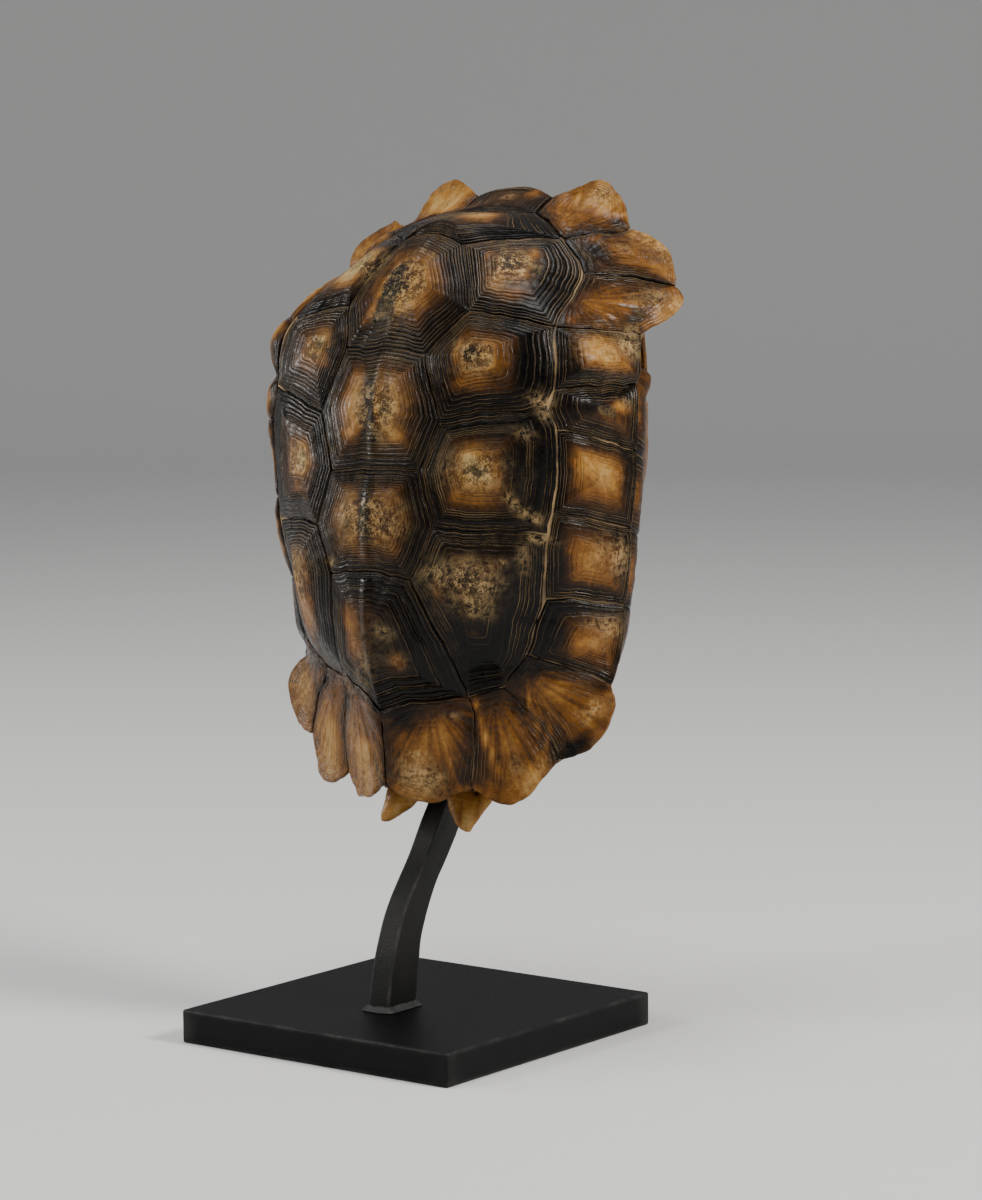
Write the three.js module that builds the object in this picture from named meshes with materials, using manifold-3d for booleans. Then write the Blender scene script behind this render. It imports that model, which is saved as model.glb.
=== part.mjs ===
// A tortoise shell held on a bent steel post that stands on a square steel plate.
// Millimetres, +Z up. The origin is the centre of the plate's underside, and the shell's
// mid-plane is x = 0. The shell hangs head end down, with its domed back towards -Y.
//
// The shell is laid out in its own frame: x across it, a along it from the head end to the
// tail end, and d out of the plastron (the flat belly side) towards the carapace (the dome).
import * as THREE from "three";
import { mergeVertices } from "three/addons/utils/BufferGeometryUtils.js";
import Module from "manifold-3d";

const wasm = await Module();
wasm.setup();

const GAP = 0.3; // between two pieces that touch

// ---- Stand ----
const PLATE_SIDE = 150;
const PLATE_THICK = 15;
const PLATE_CHAMFER = 0.8;
const POST_WIDTH = 11; // across x, at the foot
const POST_TOP_WIDTH = 10;
const POST_DEPTH = 15; // square to its length, where it leaves the bend
const POST_TOP_DEPTH = 12;
const POST_SLOPE = 0.72; // dy/dz of the straight upper part
const POST_STRAIGHT = [10, 95]; // (y, z) where the front edge becomes straight
const POST_REACH = 94; // length of the straight part
// Front and back edges of the bent part, as (y, z) from the foot up.
const POST_FRONT = [
  [-27.8, 20], [-26, 29], [-24, 38], [-21, 46.5], [-17.4, 55], [-12.7, 63], [-6.7, 71], [0, 79.5],
];
const POST_BACK = [
  [-7.1, 20], [-4.8, 35], [-3.4, 44], [-0.2, 52.5], [3.9, 61], [8.9, 69.3], [15.6, 77.6],
];
const POST_FOOT = [-28.5, -8]; // y of the front and back edge at the foot
const POST_CORNER = 4; // how far the rounding of the top end reaches along each side
const WELD_LEG = 4.5;
const WELD_MIDDLE = 0.55; // share of the leg at the bead's middle, out and up
const WELD_TOP = 1.2; // how far the bead's top edge stands out from the post
const SCREW_PLACES = { lower_screw: 31, upper_screw: 73 }; // distance up the straight part
const SCREW_RADIUS = 2;
const SCREW_LENGTH = 25;
const SCREW_TIP = 2; // length of the pointed end
const SCREW_SIDES = 16;
// Screw head from the middle of its top to its seat, as (radius, height above the seat).
const HEAD = [[0, 2.6], [2.4, 2.4], [3.6, 1.7], [4.2, 0.8], [4.2, 0]];
const SLOT = { length: 10, width: 1.1, depth: 1.1 };

// ---- Shell ----
const SHELL_LEAN = 18.4; // degrees between the plastron and the vertical
const SHELL_PLACE = [0, 41.7, 93.6]; // the shell frame's own origin
const WALL = 5.5;
const RIM_WALL = 3.6;
const CELLS = 3; // mesh steps to one step of the net

// Outer face of the carapace, right half: rows from the head end to the tail end, each from
// the keel (x = 0) out to the rim, as [a, x, d]. A Catmull-Rom surface passes through them.
const CARAPACE = [
  [[0, 0, 67], [-1.5, 17, 57.5], [5, 35, 50], [4, 53, 43], [22, 70, 38.5], [33, 83, 34.5]],
  [[20, 0, 75], [21, 18, 67], [25, 37, 58], [31, 54, 50.5], [40, 72, 42.5], [49, 90.5, 35]],
  [[37, 0, 83], [40, 18, 77.5], [45, 37, 66], [51, 53, 59.5], [57, 73, 48], [62, 89, 33]],
  [[61, 0, 97], [61, 20, 92], [63, 42, 79.5], [66, 62, 68], [71, 77, 54], [78, 88.5, 31.5]],
  [[88, 0, 108], [88, 24, 104.5], [90, 47, 94.4], [90, 61, 83], [91, 78, 65], [94, 92.5, 38.5]],
  [[111, 0, 114], [111, 26, 110.5], [113, 49, 101], [113, 64, 92], [113, 82, 77], [113, 94, 44]],
  [[134, 0, 118.5], [134, 26, 115.5], [137, 49, 107], [136, 66, 99], [136, 84, 83], [136, 95, 50]],
  [[160, 0, 123], [160, 26, 120], [160, 49, 112], [160, 68, 104.5], [160, 86, 89], [160, 94.5, 54]],
  [[184, 0, 124], [184, 24, 122], [187, 45, 116], [186, 67, 109], [187, 86, 95], [188, 94.5, 60]],
  [[213, 0, 120.5], [211, 25, 117.5], [210, 45, 113], [208, 64, 107], [208, 82, 91], [212, 90.5, 58]],
  [[232, 0, 114], [232, 21, 109.5], [233, 41, 99], [236, 59, 84], [236, 77, 64], [235, 94, 46]],
  [[248, 0, 104], [248, 18, 99], [250, 34, 88.5], [252, 48, 77], [255, 64, 63], [252, 84, 45]],
  [[259, 0, 84], [260, 16, 81], [261, 28, 76], [263, 40, 68], [265, 50, 59], [266, 63, 47]],
  [[269, 0, 65], [269, 11, 65], [270, 22, 63], [272, 32, 58], [275, 42, 53], [276, 55, 47.5]],
  [[283.5, 0, 50], [282, 11, 51.5], [280, 21, 53], [284, 32, 50], [286, 42, 48], [281, 51, 47.5]],
];

// Plastron plate: [a, half width], head end first. It is flat to LOBE_BEND, and the lobe in
// front of that rises at the slope LOBE_SLOPE, so that its face lies along the post.
const PLASTRON = [
  [3, 28], [20, 40], [36, 50], [54, 57.5], [72, 61], [88, 63], [115, 64.5], [142, 64.5],
  [170, 63], [196, 59], [218, 54.5], [240, 46], [262, 30],
];
const PLATE_WALL = 7;
const LOBE_BEND = 90.7;
const LOBE_SLOPE = 0.3116;
const FLAT_HALF = 12; // half width of the dead flat strip along the middle
const EDGE_RISE = 4;
const TAIL_RISE = 0.08; // upturn behind a = TAIL_BEND
const TAIL_BEND = 218;
const ANAL_NOTCH = { apex: 243, end: 270, half: 22 };

// Gular horns: sections from the plate to the tip, as [a, x, d, half width, half depth].
const HORN = [
  [15, 19, 28.5, 12, 5], [4, 19.5, 30, 10.5, 5.2], [-3, 21, 31, 8, 4.8],
  [-8, 22.3, 31.6, 4.6, 3.4], [-10.3, 22.8, 31.8, 2, 1.6],
];
const HORN_SIDES = 14;

// Bridge: the wall between the plastron and the carapace's rim, between the leg openings. Its
// foot runs from a = front to a = rear along the plate, and its top along these rows of the net.
const BRIDGE = { front: 66, rear: 200, firstRow: 2.25, lastRow: 8.65 };
const BRIDGE_STEPS = { along: 12, up: 8 };
const BRIDGE_WALL = 5;
const BRIDGE_SEAM_WALL = 2; // where it runs into the carapace
const BRIDGE_LEAN = 0.72; // how far it leans in for each millimetre below the rim
const BRIDGE_DROPS = [22, 9]; // heights below the rim of its two middle guides
const BRIDGE_BULGE = 3.4; // most that it swells, near the tail end
const BRIDGE_HOLLOW = 7; // how far its two free edges are hollowed

// Neural ridge: the backbone's arch along the inside of the carapace, between two net rows.
const RIDGE = { first: 2, last: 11, halfWidth: 6, height: 7 };
const RIDGE_SIDES = 8;

// ---- Geometry helpers ----
const v3 = (x, y, z) => new THREE.Vector3(x, y, z);
const shellPoint = ([a, x, d]) => v3(x, a, d); // the shell frame is x, a, d as X, Y, Z

function solidOf(geometry) {
  const bare = new THREE.BufferGeometry();
  bare.setAttribute("position", geometry.getAttribute("position"));
  if (geometry.index) bare.setIndex(geometry.index);
  const merged = mergeVertices(bare, 1e-4);
  return new wasm.Manifold(
    new wasm.Mesh({
      numProp: 3,
      vertProperties: new Float32Array(merged.attributes.position.array),
      triVerts: new Uint32Array(merged.index.array),
    }),
  );
}

function geometryOf(solid) {
  const mesh = solid.getMesh();
  const geometry = new THREE.BufferGeometry();
  geometry.setAttribute("position", new THREE.BufferAttribute(mesh.vertProperties, 3));
  geometry.setIndex(new THREE.BufferAttribute(mesh.triVerts, 1));
  const flat = geometry.toNonIndexed();
  flat.computeVertexNormals();
  return flat;
}

// A closed solid between two grids of points, top and bottom, with x rising along a row.
function sheetSolid(top, bottom) {
  const rows = top.length;
  const columns = top[0].length;
  const points = [...top.flat(), ...bottom.flat()];
  const end = columns - 1;
  const at = (layer, r, c) => (layer * rows + r) * columns + c;
  const index = [];
  const quad = (p, q, r, s) => index.push(p, q, r, p, r, s);
  for (let r = 0; r + 1 < rows; r++) {
    for (let c = 0; c + 1 < columns; c++) {
      quad(at(0, r, c), at(0, r, c + 1), at(0, r + 1, c + 1), at(0, r + 1, c));
      quad(at(1, r, c), at(1, r + 1, c), at(1, r + 1, c + 1), at(1, r, c + 1));
    }
    quad(at(0, r, 0), at(0, r + 1, 0), at(1, r + 1, 0), at(1, r, 0));
    quad(at(0, r + 1, end), at(0, r, end), at(1, r, end), at(1, r + 1, end));
  }
  for (let c = 0; c + 1 < columns; c++) {
    quad(at(0, 0, c + 1), at(0, 0, c), at(1, 0, c), at(1, 0, c + 1));
    quad(at(0, rows - 1, c), at(0, rows - 1, c + 1), at(1, rows - 1, c + 1), at(1, rows - 1, c));
  }
  const geometry = new THREE.BufferGeometry().setFromPoints(points);
  geometry.setIndex(index);
  return solidOf(geometry);
}

// A closed solid through rings of points that run the same way round.
function ringSolid(rings) {
  const sides = rings[0].length;
  const points = rings.flat();
  const centre = (ring) => ring.reduce((sum, p) => sum.add(p), v3(0, 0, 0)).divideScalar(sides);
  points.push(centre(rings[0]), centre(rings[rings.length - 1]));
  const index = [];
  for (let k = 0; k < sides; k++) {
    const next = (k + 1) % sides;
    for (let r = 0; r + 1 < rings.length; r++) {
      const low = r * sides;
      const high = low + sides;
      index.push(low + k, low + next, high + next, low + k, high + next, high + k);
    }
    const last = (rings.length - 1) * sides;
    index.push(points.length - 2, next, k, points.length - 1, last + k, last + next);
  }
  const geometry = new THREE.BufferGeometry().setFromPoints(points);
  geometry.setIndex(index);
  return solidOf(geometry);
}

// ---- Carapace ----
const ROWS = CARAPACE.length - 1;
const COLUMNS = CARAPACE[0].length - 1;

function netPoint(row, column) {
  const mirrored = column < 0;
  const c = Math.abs(column);
  if (row < 0) return netPoint(0, column).multiplyScalar(2).sub(netPoint(1, column));
  if (row > ROWS) return netPoint(ROWS, column).multiplyScalar(2).sub(netPoint(ROWS - 1, column));
  if (c > COLUMNS) {
    const beyond = shellPoint(CARAPACE[row][COLUMNS]).multiplyScalar(2);
    return beyond.sub(shellPoint(CARAPACE[row][COLUMNS - 1]));
  }
  const point = shellPoint(CARAPACE[row][c]);
  if (mirrored) point.x = -point.x;
  return point;
}

function catmullRom(p, q, r, s, t) {
  const bend = (a, b, c, d) =>
    0.5 * (2 * b + (c - a) * t + (2 * a - 5 * b + 4 * c - d) * t * t + (3 * b - a - 3 * c + d) * t * t * t);
  return v3(bend(p.x, q.x, r.x, s.x), bend(p.y, q.y, r.y, s.y), bend(p.z, q.z, r.z, s.z));
}

// The outer face at any place on the net: row 0..ROWS, column -COLUMNS..COLUMNS.
function carapacePoint(row, column) {
  const side = Math.sign(column) || 1;
  const c = Math.abs(column);
  const r0 = Math.min(Math.floor(row), ROWS - 1);
  const c0 = Math.min(Math.floor(c), COLUMNS - 1);
  const across = [-1, 0, 1, 2].map((k) => {
    const [p, q, r, s] = [-1, 0, 1, 2].map((m) => netPoint(r0 + k, c0 + m));
    return catmullRom(p, q, r, s, c - c0);
  });
  const point = catmullRom(...across, row - r0);
  point.x *= side;
  return point;
}

// The inner face under the same place: one wall in, thinner towards the free rim.
function carapaceInside(row, column) {
  const step = 0.05;
  const point = carapacePoint(row, column);
  const along = carapacePoint(Math.min(row + step, ROWS), column).sub(
    carapacePoint(Math.max(row - step, 0), column),
  );
  const across = carapacePoint(row, Math.min(column + step, COLUMNS)).sub(
    carapacePoint(row, Math.max(column - step, -COLUMNS)),
  );
  const outward = across.cross(along).normalize();
  const fromRim = Math.min(1, row, ROWS - row, COLUMNS - Math.abs(column));
  return point.addScaledVector(outward, -THREE.MathUtils.lerp(RIM_WALL, WALL, fromRim));
}

function carapace() {
  const grid = (place) =>
    Array.from({ length: ROWS * CELLS + 1 }, (_, r) =>
      Array.from({ length: 2 * COLUMNS * CELLS + 1 }, (_, c) => place(r / CELLS, c / CELLS - COLUMNS)),
    );
  return sheetSolid(grid(carapacePoint), grid(carapaceInside));
}

// Its rings stand half a row apart and shrink towards both ends.
function neuralRidge() {
  const { first, last, halfWidth, height } = RIDGE;
  const spacing = 0.5;
  const rings = [];
  for (let row = first; row <= last; row += spacing) {
    const centre = carapaceInside(row, 0);
    const share = (row - first + spacing / 2) / (last - first + spacing);
    const tall = height * Math.sqrt(Math.sin(Math.PI * share));
    rings.push(
      Array.from({ length: RIDGE_SIDES }, (_, k) => {
        const turn = (k / RIDGE_SIDES) * 2 * Math.PI;
        return v3(-halfWidth * Math.cos(turn), 0, tall * Math.sin(turn)).add(centre);
      }),
    );
  }
  return ringSolid(rings);
}

// ---- Plastron, horns and bridges ----
const lobeRise = (a) => Math.max(0, (LOBE_BEND - a) * LOBE_SLOPE);
const tailRise = (a) => Math.max(0, (a - TAIL_BEND) * TAIL_RISE);

function plastronFace(a, x, half) {
  const out = Math.max(0, (Math.abs(x) - FLAT_HALF) / (half - FLAT_HALF));
  return v3(x, a, lobeRise(a) + tailRise(a) + EDGE_RISE * out * out);
}

function plastron() {
  const rows = PLASTRON.map(([a, half]) => {
    const outer = [0.3, 0.55, 0.8, 1].map((share) => FLAT_HALF + share * (half - FLAT_HALF));
    const right = [FLAT_HALF, ...outer];
    const places = [...right.map((x) => -x).reverse(), 0, ...right];
    return places.map((x) => plastronFace(a, x, half));
  });
  const bend = PLASTRON.findIndex(([a]) => a > LOBE_BEND);
  const half = PLASTRON[bend - 1][1];
  const bendRow = rows[bend - 1].map((p) => plastronFace(LOBE_BEND, p.x, half));
  rows.splice(bend, 0, bendRow);
  const inside = rows.map((row) => row.map((p) => p.clone().setZ(p.z + PLATE_WALL)));
  const { apex, end, half: notchHalf } = ANAL_NOTCH;
  const notch = new THREE.Shape([
    new THREE.Vector2(0, apex),
    new THREE.Vector2(notchHalf, end),
    new THREE.Vector2(-notchHalf, end),
  ]);
  const cutter = new THREE.ExtrudeGeometry(notch, { depth: 60, bevelEnabled: false });
  cutter.translate(0, 0, -20);
  return sheetSolid(inside, rows).subtract(solidOf(cutter));
}

function horn(side) {
  const rings = HORN.map(([a, x, d, halfWidth, halfDepth]) =>
    Array.from({ length: HORN_SIDES }, (_, k) => {
      const turn = (k / HORN_SIDES) * 2 * Math.PI;
      return v3(side * x + halfWidth * Math.cos(turn), a, d + halfDepth * Math.sin(turn));
    }),
  );
  return ringSolid(rings);
}

// Half width of the plastron plate at a.
function plateHalf(a) {
  const k = Math.max(1, PLASTRON.findIndex(([place]) => place >= a));
  const [[a0, w0], [a1, w1]] = [PLASTRON[k - 1], PLASTRON[k]];
  return THREE.MathUtils.lerp(w0, w1, (a - a0) / (a1 - a0));
}

// The outer face of the right bridge at a share of its length, from the plate up to the rim.
// Its first guide is sunk in the plate and its last in the carapace.
function bridgeGuides(share) {
  const a = THREE.MathUtils.lerp(BRIDGE.front, BRIDGE.rear, share);
  const row = THREE.MathUtils.lerp(BRIDGE.firstRow, BRIDGE.lastRow, share);
  const rim = carapacePoint(row, COLUMNS);
  const above = carapacePoint(row, COLUMNS - 0.3);
  const base = lobeRise(a) + EDGE_RISE * 0.6;
  const half = plateHalf(a);
  const swell = BRIDGE_BULGE * Math.sin(Math.PI * share ** 1.7) ** 0.6;
  const under = (drop) => v3(rim.x - BRIDGE_LEAN * drop + swell, rim.y, rim.z - drop);
  const [low, high] = BRIDGE_DROPS;
  return [
    v3(half - 8, a, base + 1.2),
    v3(half + 3, a, base + 4),
    under(low - base * 0.3),
    under(high),
    v3(above.x - 2.2, above.y, above.z - 1),
  ];
}

function bridge() {
  const { along, up } = BRIDGE_STEPS;
  const inner = [];
  const outer = [];
  for (let k = 0; k <= along; k++) {
    const points = new THREE.CatmullRomCurve3(bridgeGuides(k / along)).getPoints(up);
    const fromMiddle = (2 * k) / along - 1;
    points.forEach((p, m) => {
      p.y -= fromMiddle ** 3 * BRIDGE_HOLLOW * Math.sin((Math.PI * m) / up);
    });
    outer.push(points);
    inner.push(
      points.map((p, m) => {
        const ahead = points[Math.min(m + 1, up)].clone().sub(points[Math.max(m - 1, 0)]);
        const inward = v3(-ahead.z, 0, ahead.x).normalize();
        return inward.multiplyScalar(m === up ? BRIDGE_SEAM_WALL : BRIDGE_WALL).add(p);
      }),
    );
  }
  return sheetSolid(inner, outer);
}

// ---- Stand pieces ----
const lean = Math.atan(POST_SLOPE);
const postUp = new THREE.Vector2(Math.sin(lean), Math.cos(lean)); // (y, z) along the straight part
const postIn = new THREE.Vector2(-Math.cos(lean), Math.sin(lean)); // (y, z) from the post to the shell
const postStart = new THREE.Vector2(...POST_STRAIGHT);

function alongPost(distance, depth = 0) {
  return postStart.clone().addScaledVector(postUp, distance).addScaledVector(postIn, -depth);
}

// A flat outline in (y, z), given thickness along x and centred on the mid-plane.
function midPlaneExtrusion(shape, width) {
  const geometry = new THREE.ExtrudeGeometry(shape, {
    depth: width,
    bevelEnabled: false,
    curveSegments: 4,
  });
  geometry.translate(0, 0, -width / 2);
  const turn = new THREE.Matrix4().makeBasis(v3(0, 1, 0), v3(0, 0, 1), v3(1, 0, 0));
  return geometry.applyMatrix4(turn);
}

function postBlank() {
  const [frontFoot, backFoot] = POST_FOOT;
  const foot = PLATE_THICK + GAP;
  const vector = ([y, z]) => new THREE.Vector2(y, z);
  const shape = new THREE.Shape();
  shape.moveTo(frontFoot, foot);
  shape.splineThru([...POST_FRONT.map(vector), postStart]);
  const topFront = alongPost(POST_REACH - POST_CORNER);
  const tipFront = alongPost(POST_REACH, POST_CORNER);
  const tipBack = alongPost(POST_REACH, POST_TOP_DEPTH - POST_CORNER);
  const topBack = alongPost(POST_REACH - POST_CORNER, POST_TOP_DEPTH);
  shape.lineTo(topFront.x, topFront.y);
  shape.quadraticCurveTo(...alongPost(POST_REACH).toArray(), tipFront.x, tipFront.y);
  shape.lineTo(tipBack.x, tipBack.y);
  shape.quadraticCurveTo(...alongPost(POST_REACH, POST_TOP_DEPTH).toArray(), topBack.x, topBack.y);
  const backStart = alongPost(2, POST_DEPTH);
  shape.lineTo(backStart.x, backStart.y);
  shape.splineThru([...POST_BACK.map(vector).reverse(), new THREE.Vector2(backFoot, foot)]);
  const geometry = midPlaneExtrusion(shape, POST_WIDTH);
  const position = geometry.getAttribute("position");
  const top = alongPost(POST_REACH).y;
  for (let k = 0; k < position.count; k++) {
    const share = (position.getZ(k) - foot) / (top - foot);
    position.setX(k, position.getX(k) * THREE.MathUtils.lerp(1, POST_TOP_WIDTH / POST_WIDTH, share));
  }
  return solidOf(geometry);
}

// Places something built along +Z, from the post's back face towards the shell.
function screwMatrix(distance) {
  const backDepth = THREE.MathUtils.lerp(POST_DEPTH, POST_TOP_DEPTH, distance / POST_REACH);
  const start = alongPost(distance, backDepth + GAP);
  const axis = v3(0, postIn.x, postIn.y);
  const turn = new THREE.Quaternion().setFromUnitVectors(v3(0, 0, 1), axis);
  return new THREE.Matrix4().compose(v3(0, start.x, start.y), turn, v3(1, 1, 1));
}

// A hole right through the post and the shell for each screw.
const screwHoles = Object.values(SCREW_PLACES).map((distance) => {
  const radius = SCREW_RADIUS + GAP;
  const geometry = new THREE.CylinderGeometry(radius, radius, 3 * SCREW_LENGTH, SCREW_SIDES);
  return geometry.rotateX(Math.PI / 2).applyMatrix4(screwMatrix(distance));
});

// Built along +Z with its seat at z = 0 and its head below.
function screw() {
  const shank = [
    [SCREW_RADIUS, 0],
    [SCREW_RADIUS, SCREW_LENGTH - SCREW_TIP],
    [0, SCREW_LENGTH],
  ];
  const outline = [...HEAD.map(([r, height]) => [r, -height]), ...shank];
  const profile = outline.map(([r, z]) => new THREE.Vector2(r, z));
  const body = new THREE.LatheGeometry(profile, SCREW_SIDES).rotateX(Math.PI / 2);
  const slot = new THREE.BoxGeometry(SLOT.length, SLOT.width, 2 * SLOT.depth);
  return solidOf(body).subtract(solidOf(slot.translate(0, 0, -HEAD[0][1])));
}

function basePlate() {
  const half = PLATE_SIDE / 2 - PLATE_CHAMFER;
  const corners = [[-half, -half], [half, -half], [half, half], [-half, half]];
  const shape = new THREE.Shape(corners.map(([x, y]) => new THREE.Vector2(x, y)));
  const geometry = new THREE.ExtrudeGeometry(shape, {
    depth: PLATE_THICK - 2 * PLATE_CHAMFER,
    bevelThickness: PLATE_CHAMFER,
    bevelSize: PLATE_CHAMFER,
    bevelSegments: 1,
  });
  return geometry.translate(0, 0, PLATE_CHAMFER);
}

// The bead round the foot: a four-sided ring with a sloping outside. The post leans back as it
// rises, so the room for it reaches a little further back.
function footWeld() {
  const [front, back] = POST_FOOT;
  const middle = (front + back) / 2;
  const foot = PLATE_THICK + GAP;
  const block = (grow, z) => {
    const [x, y] = [POST_WIDTH / 2 + grow, (back - front) / 2 + grow];
    return [v3(-x, -y, z), v3(x, -y, z), v3(x, y, z), v3(-x, y, z)];
  };
  const bulge = WELD_LEG * WELD_MIDDLE;
  const skirt = ringSolid([block(WELD_LEG, 0), block(bulge, bulge), block(WELD_TOP, WELD_LEG)]);
  const leanRoom = 0.8;
  const depth = back - front + 2 * GAP + leanRoom;
  const room = new THREE.BoxGeometry(POST_WIDTH + 2 * GAP, depth, 4 * WELD_LEG);
  room.translate(0, leanRoom / 2, 0);
  return skirt.subtract(solidOf(room)).translate([0, middle, foot]);
}

// ---- The object ----
const bone = new THREE.MeshStandardMaterial({ color: 0x8c6436, roughness: 0.45, metalness: 0 });
const blackSteel = new THREE.MeshStandardMaterial({ color: 0x1b1a1d, roughness: 0.5, metalness: 0.5 });
const blackPlate = new THREE.MeshStandardMaterial({ color: 0x17161a, roughness: 0.55, metalness: 0.5 });
const weldSteel = new THREE.MeshStandardMaterial({ color: 0x2b2a2c, roughness: 0.7, metalness: 0.6 });
const screwSteel = new THREE.MeshStandardMaterial({ color: 0x3a393b, roughness: 0.4, metalness: 0.9 });

const group = new THREE.Group();

function add(name, geometry, material, parent = group) {
  const mesh = new THREE.Mesh(geometry, material);
  mesh.name = name;
  parent.add(mesh);
  return mesh;
}

const shellFrame = new THREE.Group();
shellFrame.position.set(...SHELL_PLACE);
shellFrame.rotation.x = THREE.MathUtils.degToRad(90 - SHELL_LEAN);
shellFrame.updateMatrixWorld(true);
group.add(shellFrame);

const intoShell = shellFrame.matrixWorld.clone().invert();
const rightBridge = bridge();
let shell = wasm.Manifold.union([
  carapace(),
  neuralRidge(),
  plastron(),
  horn(1),
  horn(-1),
  rightBridge,
  rightBridge.mirror([1, 0, 0]),
]);
for (const hole of screwHoles) shell = shell.subtract(solidOf(hole.clone().applyMatrix4(intoShell)));
add("shell", geometryOf(shell), bone, shellFrame);

let post = postBlank();
for (const hole of screwHoles) post = post.subtract(solidOf(hole));
add("post", geometryOf(post), blackSteel);
add("base_plate", basePlate(), blackPlate);
add("foot_weld", geometryOf(footWeld()), weldSteel);
for (const [name, distance] of Object.entries(SCREW_PLACES)) {
  const mesh = add(name, geometryOf(screw()), screwSteel.clone());
  mesh.applyMatrix4(screwMatrix(distance));
}

export default group;
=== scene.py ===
# Tortoise shell on a bent steel post and a square plate. Millimetres inside the maths, metres in
# Blender. The shell's own frame is x across, a along it from head to tail, d out of the plastron.
import math

import bpy
import numpy as np
from mathutils import Matrix, Vector


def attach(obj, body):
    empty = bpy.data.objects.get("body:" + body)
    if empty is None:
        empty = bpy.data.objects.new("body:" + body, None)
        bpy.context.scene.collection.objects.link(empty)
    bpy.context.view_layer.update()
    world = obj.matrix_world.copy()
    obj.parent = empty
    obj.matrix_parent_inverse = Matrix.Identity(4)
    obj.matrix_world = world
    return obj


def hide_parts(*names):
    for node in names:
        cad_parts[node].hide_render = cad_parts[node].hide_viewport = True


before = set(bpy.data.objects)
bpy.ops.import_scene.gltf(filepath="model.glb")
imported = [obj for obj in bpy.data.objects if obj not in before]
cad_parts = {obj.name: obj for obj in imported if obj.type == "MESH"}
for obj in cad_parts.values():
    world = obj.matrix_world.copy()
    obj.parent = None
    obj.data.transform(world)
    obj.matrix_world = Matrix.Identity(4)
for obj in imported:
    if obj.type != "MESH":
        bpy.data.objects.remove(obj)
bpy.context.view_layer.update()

# ---- Sizes shared with the CAD, in millimetres ----
LEAN = math.radians(18.4)
PLACE_Y, PLACE_Z = 41.7, 93.6  # where the shell's own origin stands
WALL = 5.5
RIB = 24.5  # length of a rib plate and of a vertebra
NOTCH_A, NOTCH_SLOPE = 243, 0.815  # the notch in the plastron's rear edge
ROWS, COLUMNS = 14, 5
# Outer face of the carapace, right half: rows from head to tail, keel out to rim, as (a, x, d).
CARAPACE = np.array([
    [[0, 0, 67], [-1.5, 17, 57.5], [5, 35, 50], [4, 53, 43], [22, 70, 38.5], [33, 83, 34.5]],
    [[20, 0, 75], [21, 18, 67], [25, 37, 58], [31, 54, 50.5], [40, 72, 42.5], [49, 90.5, 35]],
    [[37, 0, 83], [40, 18, 77.5], [45, 37, 66], [51, 53, 59.5], [57, 73, 48], [62, 89, 33]],
    [[61, 0, 97], [61, 20, 92], [63, 42, 79.5], [66, 62, 68], [71, 77, 54], [78, 88.5, 31.5]],
    [[88, 0, 108], [88, 24, 104.5], [90, 47, 94.4], [90, 61, 83], [91, 78, 65], [94, 92.5, 38.5]],
    [[111, 0, 114], [111, 26, 110.5], [113, 49, 101], [113, 64, 92], [113, 82, 77], [113, 94, 44]],
    [[134, 0, 118.5], [134, 26, 115.5], [137, 49, 107],
     [136, 66, 99], [136, 84, 83], [136, 95, 50]],
    [[160, 0, 123], [160, 26, 120], [160, 49, 112],
     [160, 68, 104.5], [160, 86, 89], [160, 94.5, 54]],
    [[184, 0, 124], [184, 24, 122], [187, 45, 116], [186, 67, 109], [187, 86, 95], [188, 94.5, 60]],
    [[213, 0, 120.5], [211, 25, 117.5], [210, 45, 113],
     [208, 64, 107], [208, 82, 91], [212, 90.5, 58]],
    [[232, 0, 114], [232, 21, 109.5], [233, 41, 99], [236, 59, 84], [236, 77, 64], [235, 94, 46]],
    [[248, 0, 104], [248, 18, 99], [250, 34, 88.5], [252, 48, 77], [255, 64, 63], [252, 84, 45]],
    [[259, 0, 84], [260, 16, 81], [261, 28, 76], [263, 40, 68], [265, 50, 59], [266, 63, 47]],
    [[269, 0, 65], [269, 11, 65], [270, 22, 63], [272, 32, 58], [275, 42, 53], [276, 55, 47.5]],
    [[283.5, 0, 50], [282, 11, 51.5], [280, 21, 53], [284, 32, 50], [286, 42, 48], [281, 51, 47.5]],
], float)
# The plastron's half width, as (a, half width).
PLASTRON = np.array([
    [3, 28], [20, 40], [36, 50], [54, 57.5], [72, 61], [88, 63], [115, 64.5], [142, 64.5],
    [170, 63], [196, 59], [218, 54.5], [240, 46], [262, 30],
], float)


# ---- Noise and curves ----
def lattice(cell, seed):
    """A repeatable value in -1..1 for each whole-number cell."""
    x, y, z = np.moveaxis(cell, -1, 0)
    n = x * 374761393 + y * 668265263 + z * 2147483647 + seed * 974634777
    n = (n ^ (n >> 13)) * 1274126177
    n = (n ^ (n >> 16)) & 0xFFFFFF
    return n / float(0x7FFFFF) - 1.0


def noise3(points, size, seed=0):
    """Smooth value noise of that feature size."""
    q = np.asarray(points, float) / size + 100.37
    base = np.floor(q).astype(np.int64)
    f = q - base
    w = f * f * (3 - 2 * f)
    total = np.zeros(q.shape[:-1])
    for corner in np.ndindex(2, 2, 2):
        c = np.array(corner)
        weight = np.prod(np.where(c == 1, w, 1 - w), axis=-1)
        total += weight * lattice(base + c, seed)
    return total


def smooth(low, high, value):
    t = np.clip((value - low) / (high - low), 0, 1)
    return t * t * (3 - 2 * t)


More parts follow.
